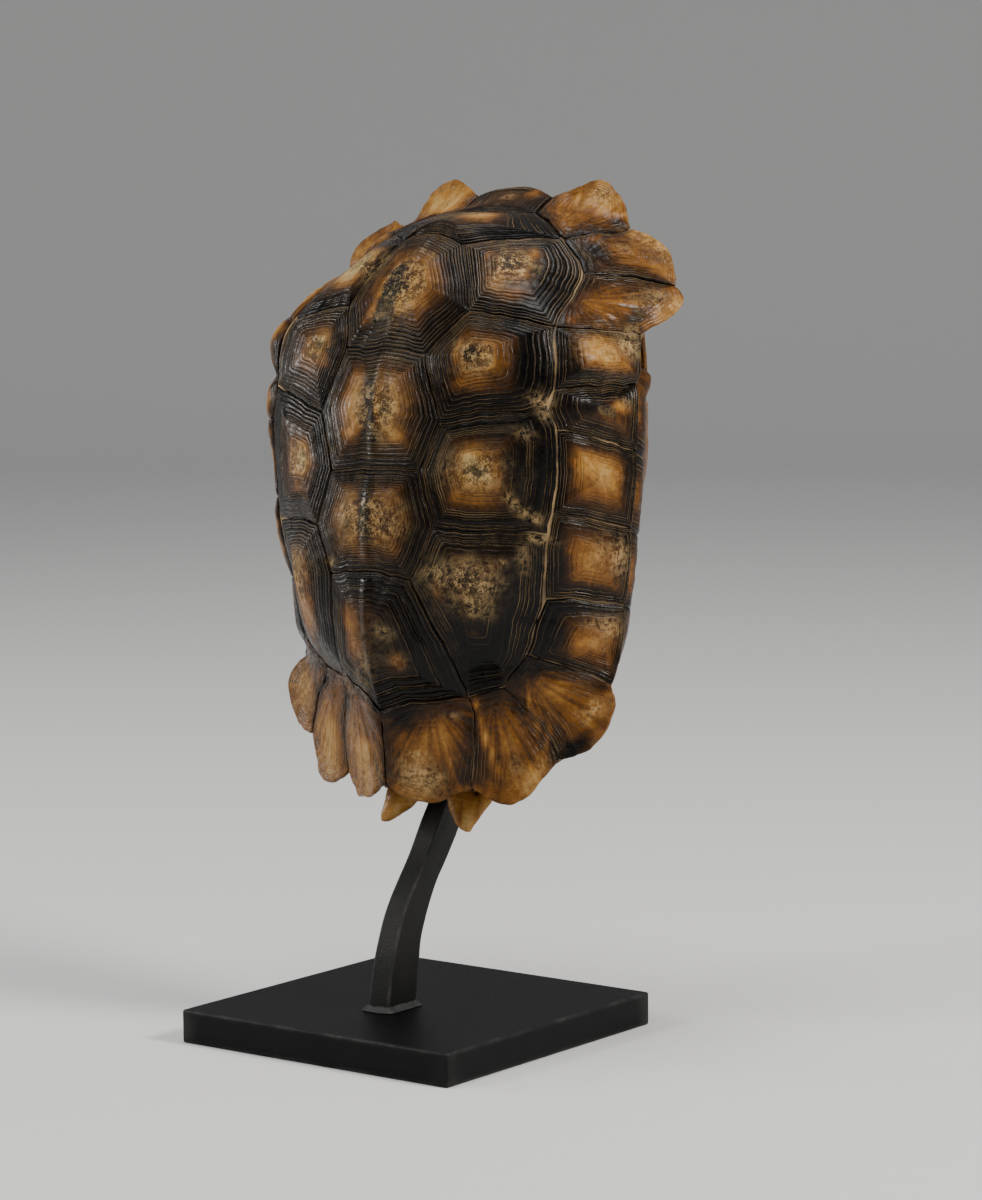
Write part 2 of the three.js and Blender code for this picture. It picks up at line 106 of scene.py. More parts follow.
def hermite(xs, ys, x):
    """A smooth curve through the points (xs, ys)."""
    xs, ys, x = np.asarray(xs, float), np.asarray(ys, float), np.asarray(x, float)
    slope = np.gradient(ys, xs)
    k = np.clip(np.searchsorted(xs, x) - 1, 0, len(xs) - 2)
    h = xs[k + 1] - xs[k]
    t = (x - xs[k]) / h
    t2, t3 = t * t, t * t * t
    return (
        (2 * t3 - 3 * t2 + 1) * ys[k] + (t3 - 2 * t2 + t) * h * slope[k]
        + (3 * t2 - 2 * t3) * ys[k + 1] + (t3 - t2) * h * slope[k + 1]
    )


# ---- Surfaces, as (x, a, d) ----
def extended_net():
    net = np.zeros((ROWS + 3, COLUMNS + 3, 3))
    net[1:-1, 1:-1] = CARAPACE[:, :, [1, 0, 2]]
    net[1:-1, 0] = net[1:-1, 2] * [-1, 1, 1]
    net[1:-1, -1] = 2 * net[1:-1, -2] - net[1:-1, -3]
    net[0] = 2 * net[1] - net[2]
    net[-1] = 2 * net[-2] - net[-3]
    return net


EXTENDED = extended_net()


def spline_weights(t):
    return 0.5 * np.stack([
        -t + 2 * t**2 - t**3, 2 - 5 * t**2 + 3 * t**3, t + 4 * t**2 - 3 * t**3, -(t**2) + t**3,
    ])


def carapace_point(row, column):
    row, column = np.broadcast_arrays(np.asarray(row, float), np.asarray(column, float))
    c = np.abs(column)
    r0 = np.clip(np.floor(row).astype(int), 0, ROWS - 1)
    c0 = np.clip(np.floor(c).astype(int), 0, COLUMNS - 1)
    wr, wc = spline_weights(row - r0), spline_weights(c - c0)
    point = np.zeros(row.shape + (3,))
    for k in range(4):
        for m in range(4):
            point += (wr[k] * wc[m])[..., None] * EXTENDED[r0 + k, c0 + m]
    point[..., 0] *= np.where(column < 0, -1.0, 1.0)
    return point


def unit(vectors):
    return vectors / (np.linalg.norm(vectors, axis=-1, keepdims=True) + 1e-12)


def normal_of(surface, u, v, step_u, step_v):
    along = surface(u + step_u, v) - surface(u - step_u, v)
    across = surface(u, v + step_v) - surface(u, v - step_v)
    return unit(np.cross(across, along))


def carapace_normal(row, column):
    r = np.clip(row, 0.05, ROWS - 0.05)
    c = np.clip(column, -COLUMNS + 0.05, COLUMNS - 0.05)
    return normal_of(carapace_point, r, c, 0.04, 0.04)


def plate_half(a):
    return hermite(PLASTRON[:, 0], PLASTRON[:, 1], a)


def plastron_point(a, share):
    a, share = np.broadcast_arrays(np.asarray(a, float), np.asarray(share, float))
    half = plate_half(a)
    x = share * half
    out = np.maximum(0, (np.abs(x) - 12) / (half - 12))
    d = np.maximum(0, (90.7 - a) * 0.3116) + np.maximum(0, (a - 218) * 0.08) + 4 * out**2
    return np.stack([x, a, d], -1)


def plastron_normal(a, share):
    return -normal_of(plastron_point, a, share, 0.6, 0.01)


def to_world(local):
    x, a, d = local[..., 0], local[..., 1], local[..., 2]
    y = PLACE_Y + math.sin(LEAN) * a - math.cos(LEAN) * d
    z = PLACE_Z + math.cos(LEAN) * a + math.sin(LEAN) * d
    return np.stack([x, y, z], -1) / 1000


# ---- Mesh and scene helpers ----
def build(name, points, faces, material, node, attributes):
    """A mesh object of points (world metres) and faces (rows of 3 or 4 indices)."""
    mesh = bpy.data.meshes.new(name)
    mesh.vertices.add(len(points))
    mesh.vertices.foreach_set("co", np.asarray(points, np.float32).ravel())
    sizes = np.concatenate([np.full(len(f), f.shape[1]) for f in faces])
    loops = np.concatenate([f.ravel() for f in faces])
    mesh.loops.add(len(loops))
    mesh.loops.foreach_set("vertex_index", loops.astype(np.int32))
    mesh.polygons.add(len(sizes))
    starts = np.concatenate([[0], np.cumsum(sizes)[:-1]])
    mesh.polygons.foreach_set("loop_start", starts.astype(np.int32))
    mesh.polygons.foreach_set("use_smooth", np.full(len(sizes), True))
    for key, values in attributes.items():
        kind = "FLOAT" if values.ndim == 1 else "FLOAT_VECTOR"
        attribute = mesh.attributes.new(key, kind, "POINT")
        field = "value" if values.ndim == 1 else "vector"
        attribute.data.foreach_set(field, np.asarray(values, np.float32).ravel())
    mesh.update(calc_edges=True)
    mesh.validate()
    piece = bpy.data.objects.new(name, mesh)
    bpy.context.scene.collection.objects.link(piece)
    mesh.materials.append(material)
    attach(piece, "root")
    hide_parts(node)
    return piece


def shell_piece(name, local, faces, material, attributes):
    return build(name, to_world(local), faces, material, "shell", attributes)


def grid_faces(rows, columns, closed=False):
    r = np.arange(rows - 1)[:, None]
    c = np.arange(columns if closed else columns - 1)[None, :]
    nxt = (c + 1) % columns
    p, q = r * columns + c, r * columns + nxt
    s, t = (r + 1) * columns + nxt, (r + 1) * columns + c
    return np.stack([p, q, s, t], -1).reshape(-1, 4)


def fan(ring, hub):
    """Triangles from a closed ring of indices to one point."""
    return np.stack([np.full(len(ring), hub), ring, np.roll(ring, -1)], -1)


def outline(rows, columns):
    """The indices round the edge of a grid."""
    n = rows * columns
    return np.concatenate([
        np.arange(columns), columns * np.arange(1, rows) + columns - 1,
        n - 2 - np.arange(columns - 1), columns * np.arange(rows - 2, 0, -1),
    ])


def facing(faces, points, index, outward):
    """The faces, turned over if that quad of the first group looks against outward."""
    q = points[faces[0][index]]
    if np.dot(np.cross(q[1] - q[0], q[2] - q[0]), outward) < 0:
        return [f[:, ::-1] for f in faces]
    return faces


def flat(grid):
    """A grid of numbers or vectors as one list of them."""
    return grid.reshape(-1, *grid.shape[2:])


KERATIN_VALUES = ("tone", "wear", "specks", "lines", "phase", "pitch")


def keratin_values(tone, spoke, **given):
    """What the scute material reads, as grids. A value that isn't given is 0 all over."""
    values = {"tone": tone, "spoke": spoke}
    for key in KERATIN_VALUES[1:]:
        values[key] = np.broadcast_to(given.get(key, 0.0), tone.shape).astype(float)
    return values


def off_whole(phase):
    """How far each phase is from the nearest whole one."""
    part = np.mod(phase, 1)
    return np.minimum(part, 1 - part)


def rounding(distance, radius):
    """How far an edge of that radius has dropped at a distance from its end, from 0 to 1."""
    return 1 - np.sqrt(np.clip(1 - (1 - np.clip(distance / radius, 0, 1)) ** 2, 0, 1))


# ---- Shader helpers ----
class Value:
    """A node's output. Arithmetic on it makes Math nodes."""

    def __init__(self, shader, socket):
        self.shader, self.socket = shader, socket

    def __add__(self, other):
        return self.shader.math("ADD", self, other)

    def __sub__(self, other):
        return self.shader.math("SUBTRACT", self, other)

    def __rsub__(self, other):
        return self.shader.math("SUBTRACT", other, self)

    def __mul__(self, other):
        return self.shader.math("MULTIPLY", self, other)


class Shader:
    """A material's node tree, with short calls for the nodes used here."""

    def __init__(self, name):
        self.material = bpy.data.materials.new(name)
        self.material.use_nodes = True
        self.nodes = self.material.node_tree.nodes
        self.links = self.material.node_tree.links
        self.nodes.clear()
        self.out = self.nodes.new("ShaderNodeOutputMaterial")
        self.bsdf = self.nodes.new("ShaderNodeBsdfPrincipled")
        self.links.new(self.bsdf.outputs[0], self.out.inputs[0])

    def put(self, socket, value):
        if isinstance(value, Value):
            self.links.new(value.socket, socket)
        elif isinstance(value, tuple):
            socket.default_value = (*value, 1)
        else:
            socket.default_value = value

    def finish(self, **sockets):
        """Sets the surface's sockets, plain numbers on the sockets themselves."""
        for key, value in sockets.items():
            self.put(self.bsdf.inputs[key.replace("_", " ")], value)
        return self.material

    def node(self, kind, inputs, output=0, **settings):
        """A new node, with inputs by name or number, as the value of one of its outputs."""
        made = self.nodes.new(kind)
        for key, value in settings.items():
            setattr(made, key, value)
        for key, value in inputs.items():
            self.put(made.inputs[key], value)
        return Value(self, made.outputs[output])

    def math(self, operation, a, b=0.0, clamp=False):
        return self.node("ShaderNodeMath", {0: a, 1: b}, operation=operation, use_clamp=clamp)

    def ramp(self, value, low, high, to_low=0.0, to_high=1.0):
        inputs = dict(enumerate((value, low, high, to_low, to_high)))
        return self.node("ShaderNodeMapRange", inputs, interpolation_type="SMOOTHSTEP")

    def mix(self, factor, a, b):
        return self.node("ShaderNodeMix", {0: factor, 6: a, 7: b}, 2, data_type="RGBA")

    def colours(self, value, stops):
        made = self.node("ShaderNodeValToRGB", {0: value})
        ramp = made.socket.node.color_ramp
        while len(ramp.elements) < len(stops):
            ramp.elements.new(0.5)
        for element, (place, colour) in zip(ramp.elements, stops):
            element.position = place
            element.color = (*colour, 1)
        return made

    def noise(self, vector, scale, detail=3.0, roughness=0.55):
        return self.node("ShaderNodeTexNoise", {
            "Vector": vector, "Scale": scale, "Detail": detail, "Roughness": roughness})

    def attribute(self, name, vector=False):
        return self.node("ShaderNodeAttribute", {}, 1 if vector else 2, attribute_name=name)

    def place(self):
        return self.node("ShaderNodeTexCoord", {}, "Object")

    def bump(self, height, strength, distance):
        return self.node("ShaderNodeBump", {
            "Strength": strength, "Distance": distance, "Height": height})


# ---- Materials ----
BLACK = (0.0012, 0.0008, 0.0006)
DARK = (0.0070, 0.0034, 0.0016)
BROWN = (0.041, 0.0155, 0.0036)
AMBER = (0.152, 0.059, 0.0095)
GOLD = (0.325, 0.155, 0.031)
CREAM = (0.50, 0.34, 0.128)
LINE = (0.215, 0.135, 0.060)


def keratin():
    """Scute material. tone runs from black (0) to cream (1); phase counts growth rings."""
    s = Shader("scute_keratin")
    place, spoke = s.place(), s.attribute("spoke", True)
    tone, wear, specks, lines, phase, pitch = [s.attribute(name) for name in KERATIN_VALUES]
    broad, fine = s.noise(place, 90, 4, 0.6), s.noise(place, 420, 5, 0.65)
    streak = s.noise(spoke, 260, 3, 0.6)
    uneven = (broad - 0.5) * 0.42 + (fine - 0.5) * 0.30 + (streak - 0.5) * 0.22
    level = s.math("ADD", tone, uneven * s.ramp(tone, 0.0, 0.45, 0.35, 1.0), clamp=True)
    base = s.colours(level, [
        (0.0, BLACK), (0.17, DARK), (0.36, BROWN), (0.56, AMBER), (0.76, GOLD), (1.0, CREAM),
    ])
    # Growth lines: a dark groove at each whole phase and a pale line just outside it.
    ring = phase + (s.noise(place, 300, 2) - 0.5) * 0.16
    turn = s.math("FRACT", ring)
    out, back, half_way = turn * pitch, (1.0 - turn) * pitch, (turn - 0.52) * pitch
    first = s.ramp(out, 0.10, 0.22) * s.ramp(out, 0.34, 0.50, 1.0, 0.0)
    second = s.ramp(half_way, 0.0, 0.10) * s.ramp(half_way, 0.14, 0.28, 0.7, 0.0)
    broken = s.ramp(s.noise(place, 110, 4, 0.7), 0.34, 0.58, 0.12, 1.0)
    hidden = s.ramp(s.noise(place, 60, 3, 0.6), 0.50, 0.64)
    chance = s.node("ShaderNodeTexWhiteNoise", {"W": s.math("FLOOR", ring)},
                    noise_dimensions="1D")
    lines = lines * s.ramp(pitch, 1.9, 3.3, 1.0, 0.22)
    pale_line = s.math("MAXIMUM", first, second * hidden) * broken
    pale_line = pale_line * (lines * s.ramp(chance, 0.0, 0.9, 0.12, 1.0))
    groove = s.math("MAXIMUM", s.ramp(out, 0.0, 0.13, 1.0, 0.0), s.ramp(back, 0.0, 0.26, 1.0, 0.0))
    groove = groove * (lines * 0.85)
    coloured = s.mix(groove, base, (0.004, 0.0025, 0.002))
    line_colour = s.mix(s.ramp(tone, 0.2, 0.6), LINE, (0.42, 0.21, 0.06))
    coloured = s.mix(pale_line * s.ramp(tone, 0.12, 0.45, 0.80, 0.28), coloured, line_colour)
    # Areola: cream crumbs and dark pits.
    grain = s.noise(place, 1400, 4, 0.75) * 0.45 + s.noise(place, 300, 5, 0.75) * 0.55
    grain = grain + (specks - 0.8) * 0.045
    crumbs = s.math("MULTIPLY", s.ramp(grain, 0.50, 0.44), specks, clamp=True)
    coloured = s.mix(crumbs * 0.7, coloured, (0.46, 0.32, 0.135))
    pits = s.math("MULTIPLY", s.ramp(grain, 0.475, 0.525), specks, clamp=True)
    coloured = s.mix(pits * 0.92, coloured, (0.012, 0.008, 0.005))
    # Wear: pale, dry patches, which on marginal 8 on the right are partly a painted highlight.
    dry = s.ramp(s.noise(place, 420, 6, 0.75), 0.42, 0.56)
    wear_and_glint = s.math("MULTIPLY", wear, dry, clamp=True)
    coloured = s.mix(wear_and_glint * 0.8, coloured, (0.40, 0.265, 0.115))
    rough = s.ramp(s.noise(place, 350, 4, 0.6), 0.3, 0.7, 0.20, 0.38)
    height = fine * 0.5 + streak * 0.35 - groove * 0.8 - pits * 1.1
    return s.finish(
        Base_Color=coloured, Roughness=rough + s.math("MAXIMUM", wear_and_glint, pits) * 0.25,
        Specular_IOR_Level=0.15, Coat_Weight=0.02, Coat_Roughness=0.16,
        Normal=s.bump(height, 0.55, 0.0006))


def seam_tissue():
    """The pale tissue that shows between the scutes."""
    s = Shader("seam_tissue")
    place = s.place()
    patchy = s.noise(place, 140, 4, 0.6)
    colour = s.colours(s.attribute("tone") + (patchy - 0.5) * 0.5, [
        (0.0, (0.006, 0.004, 0.003)), (0.25, (0.11, 0.065, 0.03)),
        (0.6, (0.33, 0.21, 0.085)), (1.0, (0.52, 0.37, 0.17)),
    ])
    return s.finish(Base_Color=colour, Roughness=s.ramp(patchy, 0.3, 0.7, 0.5, 0.7),
                    Normal=s.bump(s.noise(place, 900, 4), 0.5, 0.0004))


def inner_bone():
    """Dry bone of the inside, with sutures given by the seam attribute."""
    s = Shader("inner_bone")
    place = s.place()
    cloud = s.noise(place, 40, 5, 0.6)
    pores = s.ramp(s.noise(place, 900, 3, 0.7), 0.60, 0.72)
    colour = s.colours(cloud, [
        (0.3, (0.36, 0.27, 0.16)), (0.5, (0.55, 0.45, 0.30)), (0.72, (0.70, 0.61, 0.45)),
    ])
    colour = s.mix(pores * 0.5, colour, (0.22, 0.15, 0.08))
    colour = s.mix(s.attribute("seam") * 0.75, colour, (0.13, 0.08, 0.04))
    return s.finish(Base_Color=colour, Roughness=s.ramp(cloud, 0.3, 0.7, 0.55, 0.75),
                    Normal=s.bump(s.noise(place, 260, 5, 0.65) - pores * 0.4, 0.6, 0.0006))


def black_steel(name, grain, tint, rough_low, rough_high, gloss):
    """Satin black finish with a fine grain, and bright metal where edge is set: rubbed edges, and
    along the plate's rounded top edge partly a painted highlight.
    """
    s = Shader(name)
    place = s.place()
    cloud, sand = s.noise(place, 30, 5, 0.65), s.noise(place, grain, 4, 0.7)
    colour = s.mix(s.ramp(cloud, 0.35, 0.65), tint, tuple(0.55 * c for c in tint))
    colour = s.mix(s.ramp(sand, 0.62, 0.75, 0.0, 0.5), colour, tuple(2.6 * c for c in tint))
    # A little bright metal all along a marked edge and more in patches: rubbed edges, and on the
    # plate's top edge partly a painted highlight.
    wear_and_glint = s.attribute("edge") * s.ramp(s.noise(place, 70, 5, 0.7), 0.42, 0.68, 0.06, 0.22)
    return s.finish(
        Base_Color=s.mix(wear_and_glint, colour, (0.20, 0.195, 0.19)),
        Metallic=s.ramp(wear_and_glint, 0.0, 1.0, 0.15, 0.8), Specular_IOR_Level=gloss,
        Roughness=s.ramp(sand, 0.3, 0.7, rough_low, rough_high),
        Normal=s.bump(sand, 0.5, 0.0004))


KERATIN = keratin()
SEAM = seam_tissue()
BONE = inner_bone()
POST_STEEL = black_steel("post_steel", 1300, (0.010, 0.0097, 0.0093), 0.38, 0.62, 0.22)
PLATE_STEEL = black_steel("plate_steel", 1900, (0.0030, 0.0030, 0.0033), 0.34, 0.48, 0.12)
WELD_STEEL = black_steel("weld_steel", 1100, (0.020, 0.020, 0.020), 0.40, 0.62, 0.3)
SCREW_STEEL = black_steel("screw_steel", 1400, (0.06, 0.06, 0.062), 0.25, 0.42, 0.4)

# ---- Scutes ----
# Patches set on the scutes: (row, column, reach in rows, reach in columns, amount).
PATCHES = {
    "tone": [
        (9.3, -0.2, 0.23, 0.17, -0.95), (9.0, -0.2, 0.2, 0.17, -0.95),
        (8.77, -0.23, 0.17, 0.17, -0.9), (8.53, -0.27, 0.1, 0.13, -0.7),
        (9.23, -0.4, 0.17, 0.1, 0.35), (8.97, -0.43, 0.17, 0.1, 0.4),
        (8.73, -0.5, 0.13, 0.1, 0.35), (9.1, 0.07, 0.5, 0.27, 0.22),
        (8.77, 0.1, 0.13, 0.23, 0.25), (9.2, 0.43, 0.8, 0.27, 0.12),
        (8.53, -0.67, 0.13, 0.23, 0.15), (7.3, -0.5, 0.33, 0.23, 0.22),
        (6.87, -0.43, 0.27, 0.2, 0.22), (7.0, 0.2, 0.47, 0.3, 0.2), (6.53, 0.47, 0.1, 0.17, 0.3),
        (6.57, -0.53, 0.1, 0.2, 0.2), (6.5, -0.07, 0.13, 0.2, -0.5),
        (7.53, -0.2, 0.3, 0.1, -0.55), (7.13, -0.13, 0.3, 0.1, -0.55),
        (6.77, -0.07, 0.27, 0.1, -0.55), (4.97, -0.4, 0.37, 0.23, 0.14),
        (5.0, 0.37, 0.37, 0.27, 0.12), (5.57, -0.07, 0.27, 0.1, -0.5),
        (5.2, -0.03, 0.27, 0.1, -0.5), (4.87, -0.03, 0.27, 0.1, -0.45),
        (4.27, 0.0, 0.13, 0.27, 0.25), (3.37, -0.6, 0.27, 0.33, 0.28),
        (3.0, -0.43, 0.3, 0.33, 0.3), (2.87, 0.4, 0.67, 0.47, -0.12),
        (2.73, 0.7, 0.17, 0.23, 0.3), (2.17, -0.07, 0.37, 0.2, -0.5),
        (3.1, 1.17, 0.73, 0.27, -0.25), (11.73, 0.6, 0.43, 0.43, 0.55),
        (13.83, 1.07, 0.3, 0.47, 0.45), (11.0, 1.53, 0.13, 0.93, -0.1),
        (9.9, 2.0, 0.33, 0.3, -0.15), (9.5, 1.87, 0.17, 0.17, 0.25),
        (10.13, 1.47, 0.23, 0.07, 0.25), (10.3, 2.37, 0.17, 0.1, 0.3),
        (9.23, 2.5, 0.17, 0.43, 0.3), (9.73, 2.87, 0.8, 0.4, -0.3),
        (10.7, 2.47, 0.2, 0.47, -0.25), (8.67, 2.93, 0.13, 0.47, -0.3),
        (8.0, 1.87, 0.13, 0.2, -0.35), (8.1, 1.57, 0.23, 0.1, 0.3), (7.93, 2.23, 0.17, 0.13, 0.3),
        (8.4, 1.93, 0.1, 0.63, 0.12), (8.17, 2.63, 0.43, 0.2, 0.18),
        (7.5, 2.03, 0.13, 0.57, 0.25), (7.93, 3.1, 0.4, 0.23, -0.3),
        (7.27, 2.57, 0.1, 0.67, -0.25), (6.27, 1.87, 0.17, 0.27, 0.35),
        (5.97, 2.03, 0.2, 0.47, 0.35), (6.53, 1.93, 0.1, 0.47, 0.15),
        (5.5, 2.0, 0.17, 0.53, 0.28), (5.67, 1.6, 0.23, 0.1, 0.15),
        (6.97, 2.33, 0.13, 1.1, -0.55), (6.2, 3.0, 0.53, 0.4, -0.2), (4.1, 1.9, 0.23, 0.6, 0.05),
        (3.9, 1.43, 0.23, 0.13, 0.25), (3.73, 1.4, 0.2, 0.13, 0.2),
        (3.53, 1.73, 0.13, 0.37, 0.15), (3.83, 2.73, 0.5, 0.3, -0.1),
        (3.03, 2.2, 0.47, 0.87, -0.45), (3.93, 3.37, 0.87, 0.27, -0.25),
        (3.3, 2.1, 0.06, 0.13, 0.4), (9.9, -1.7, 0.3, 0.8, 0.4), (9.47, -1.87, 0.27, 0.63, 0.4),
        (8.17, -1.8, 0.2, 0.23, 0.35), (7.8, -1.53, 0.13, 0.23, 0.3),
        (7.73, -2.23, 0.27, 0.3, 0.1), (6.1, -1.87, 0.33, 0.3, 0.4),
        (5.5, -2.07, 0.13, 0.47, 0.2), (4.07, -2.07, 0.23, 0.83, 0.15),
        (3.57, -2.27, 0.4, 0.63, 0.12), (13.43, 3.63, 0.63, 1.07, 0.2),
        (12.8, 4.77, 1.13, 0.3, 0.15), (11.6, 2.93, 0.7, 0.33, 0.15),
        (12.13, 4.77, 0.23, 0.2, -0.45), (11.4, 5.0, 0.7, 0.33, 0.15),
        (10.57, 4.37, 0.27, 0.53, 0.15), (10.6, 3.57, 0.2, 0.27, -0.3),
        (10.27, 3.93, 0.2, 0.5, -0.1), (9.73, 4.9, 0.37, 0.13, 0.3),
        (9.37, 4.67, 0.1, 0.2, -0.35), (9.53, 3.83, 0.2, 0.3, 0.15),
        # On the next line the last two patches lighten marginal 8 on the right: partly paler
        # keratin, partly a painted highlight.
        (8.33, 3.83, 0.5, 0.17, -0.1), (8.53, 4.27, 0.43, 0.27, 0.3), (8.3, 4.57, 0.13, 0.3, 0.1),
        (8.33, 3.57, 0.57, 0.1, -0.2), (7.83, 4.3, 0.2, 0.57, -0.5),
        (7.5, 4.17, 0.33, 0.53, -0.35), (7.63, 4.63, 0.1, 0.2, 0.5), (7.37, 4.43, 0.07, 0.2, 0.2),
        (6.57, 4.4, 0.3, 0.4, 0.3), (6.57, 4.07, 0.27, 0.13, 0.1), (6.6, 4.83, 0.4, 0.1, -0.25),
        (6.13, 3.67, 0.47, 0.1, -0.2), (4.87, 4.33, 0.37, 0.3, 0.12),
        (4.73, 3.9, 0.47, 0.13, -0.2), (4.27, 4.4, 0.1, 0.43, -0.2),
        (3.17, 4.33, 0.13, 0.37, 0.1), (3.27, 3.8, 0.53, 0.27, -0.2),
        (4.03, 4.57, 0.1, 0.37, -0.2), (1.87, 3.93, 0.33, 0.37, 0.15),
        (1.47, 4.73, 0.53, 0.27, 0.15), (0.2, 4.3, 0.27, 0.4, -0.6),
        (2.57, 3.43, 0.27, 0.33, -0.15), (0.2, 3.47, 0.23, 0.3, 0.3),
        (1.0, 2.87, 0.37, 0.23, 0.15), (0.4, 2.57, 0.23, 0.2, -0.1),
        (1.13, 1.23, 0.37, 0.43, 0.15), (0.27, 1.73, 0.27, 0.17, -0.2),
        (1.67, 0.53, 0.33, 0.3, -0.3), (13.33, -3.3, 0.87, 1.9, 0.22),
        (12.7, -3.57, 0.7, 2.23, 0.15), (10.83, -4.07, 0.2, 1.8, 0.2),
        (9.73, -2.87, 0.2, 0.8, 0.2), (9.1, -3.5, 0.13, 0.8, 0.05), (8.57, -3.73, 0.3, 0.4, 0.1),
        (0.67, -2.8, 0.47, 0.57, 0.2), (0.77, -1.07, 0.3, 0.5, 0.2),
        (2.07, -3.3, 0.53, 0.7, -0.3), (1.7, -1.8, 0.27, 0.7, -0.2), (1.8, 2.1, 0.2, 0.1, 0.35),
        (1.43, 2.2, 0.2, 0.09, 0.4), (1.1, 2.27, 0.2, 0.09, 0.4), (0.77, 2.43, 0.17, 0.09, 0.35),
        (0.47, 2.6, 0.13, 0.09, 0.3), (1.6, 3.33, 0.27, 0.07, 0.35),
        (1.2, 3.47, 0.23, 0.07, 0.35), (0.77, 3.7, 0.27, 0.07, 0.3), (1.0, -4.3, 0.6, 0.6, 0.12),
        (0.6, -3.0, 0.4, 0.6, 0.12), (0.4, -1.2, 0.4, 0.6, 0.12), (7.05, 0.3, 0.5, 0.35, 0.1),
        (1.9, -2.3, 0.5, 0.9, 0.16), (2.2, -3.1, 0.5, 0.5, 0.14), (8.6, -4.0, 0.4, 0.55, 0.42),
        # The last patch on the next line and the first on the line after darken marginals 10 and 9
        # on the right: partly their own browner colour, partly painted shade.
        (9.4, -4.2, 0.4, 0.7, 0.4), (7.7, -4.0, 0.3, 0.4, 0.25), (10.8, 4.2, 0.5, 0.9, -0.13),
        (9.8, 4.2, 0.4, 0.9, -0.08), (7.2, -3.9, 0.35, 0.3, 0.4), (6.3, -3.95, 0.4, 0.28, 0.42),
        (4.9, -3.95, 0.5, 0.28, 0.42), (3.9, -3.9, 0.4, 0.25, 0.35), (3.2, 4.2, 0.4, 0.75, 0.06),
        (3.8, -2.4, 0.6, 0.6, 0.22), (3.0, -2.4, 0.4, 0.45, 0.2),
    ],
    "wear": [
        (10.03, 0.13, 0.13, 0.2, 0.4), (8.6, -0.4, 0.07, 0.13, 0.8), (4.2, -0.9, 0.07, 0.13, 1),
        (2.63, -0.2, 0.2, 0.23, 0.6), (2.3, -0.53, 0.17, 0.23, 0.5), (3.17, 0.37, 0.1, 0.2, 0.55),
        (2.73, 0.7, 0.13, 0.2, 0.3), (12.03, 0.0, 0.37, 0.47, 0.6), (9.47, 2.0, 0.1, 0.17, 0.5),
        (10.07, 2.23, 0.17, 0.07, 0.5), (7.73, 1.93, 0.07, 0.3, 0.5),
        (8.2, 1.53, 0.13, 0.13, 0.4), (6.17, 1.77, 0.17, 0.23, 0.6), (5.87, 2.27, 0.13, 0.3, 0.5),
        (6.83, 3.0, 0.1, 0.23, 0.35), (5.67, 2.8, 0.1, 0.13, 0.7), (5.57, 2.97, 0.1, 0.1, 0.8),
        (5.43, 3.17, 0.1, 0.13, 0.8), (5.37, 3.4, 0.1, 0.13, 0.8), (7.4, 3.3, 0.1, 0.2, 1),
        (5.03, 3.47, 0.07, 0.23, 0.9), (7.23, 3.37, 0.13, 0.13, 0.6),
        (4.2, 1.6, 0.17, 0.27, 0.45), (4.23, 2.27, 0.17, 0.33, 0.4), (3.8, 2.1, 0.1, 0.4, 0.5),
        (4.47, 2.8, 0.07, 0.1, 0.7), (4.67, 3.23, 0.2, 0.13, 0.45), (6.2, -2.23, 0.27, 0.2, 0.4),
        (4.3, -2.17, 0.2, 0.5, 0.4), (9.63, 5.0, 0.17, 0.06, 0.5), (9.87, 4.6, 0.13, 0.23, 0.3),
        # The first two patches on the next line, on marginal 8 on the right, are partly real wear,
        # partly a painted highlight.
        (8.53, 4.27, 0.4, 0.3, 0.45), (8.8, 4.73, 0.23, 0.23, 0.9), (7.7, 4.73, 0.07, 0.13, 0.5),
        (6.53, 4.47, 0.2, 0.23, 0.3), (5.07, 4.77, 0.27, 0.13, 0.85),
        (5.13, 4.5, 0.17, 0.13, 0.4), (3.57, 4.67, 0.2, 0.23, 0.9), (1.27, 4.63, 0.2, 0.13, 1),
        (0.2, 3.47, 0.17, 0.27, 0.45), (0.4, 0.87, 0.23, 0.43, 1), (0.8, 0.8, 0.07, 0.2, 0.9),
        (1.63, 1.6, 0.07, 0.17, 0.5), (1.07, -4.43, 0.6, 0.5, 0.6), (0.27, -2.8, 0.2, 0.47, 0.7),
        (1.03, -1.37, 0.43, 0.3, 0.45), (0.33, -0.83, 0.27, 0.57, 0.85),
        (7.1, -0.45, 0.4, 0.2, 0.5), (5.0, -0.45, 0.35, 0.2, 0.35),
    ],
    "specks": [
        (9.1, 0.07, 0.53, 0.27, 1), (6.97, 0.2, 0.47, 0.27, 1), (4.97, -0.4, 0.37, 0.23, 0.9),
        (5.0, 0.37, 0.37, 0.3, 1), (3.17, 0.4, 0.1, 0.2, 0.6), (9.9, 2.0, 0.33, 0.3, 1.3),
        (8.0, 1.87, 0.17, 0.2, 1.5), (6.03, 2.03, 0.3, 0.5, 1), (4.1, 1.9, 0.23, 0.6, 1.2),
        (3.67, 2.17, 0.13, 0.4, 0.5), (9.8, -1.47, 0.3, 0.53, 1), (8.07, -1.9, 0.2, 0.3, 1.1),
        (6.1, -1.83, 0.17, 0.17, 1), (4.07, -2.07, 0.13, 0.5, 0.8), (13.43, 4.27, 0.3, 0.37, 0.7),
        (11.33, 4.87, 0.5, 0.27, 0.5), (9.77, 4.7, 0.2, 0.23, 0.5), (8.8, 4.73, 0.23, 0.23, 0.8),
        (0.4, 0.87, 0.23, 0.43, 0.5), (10.87, -3.97, 0.07, 0.7, 0.4),
        (1.07, -4.43, 0.6, 0.5, 0.3), (6.02, 1.98, 0.14, 0.28, 1.7), (9.88, 1.95, 0.16, 0.2, 1.7),
    ],
}

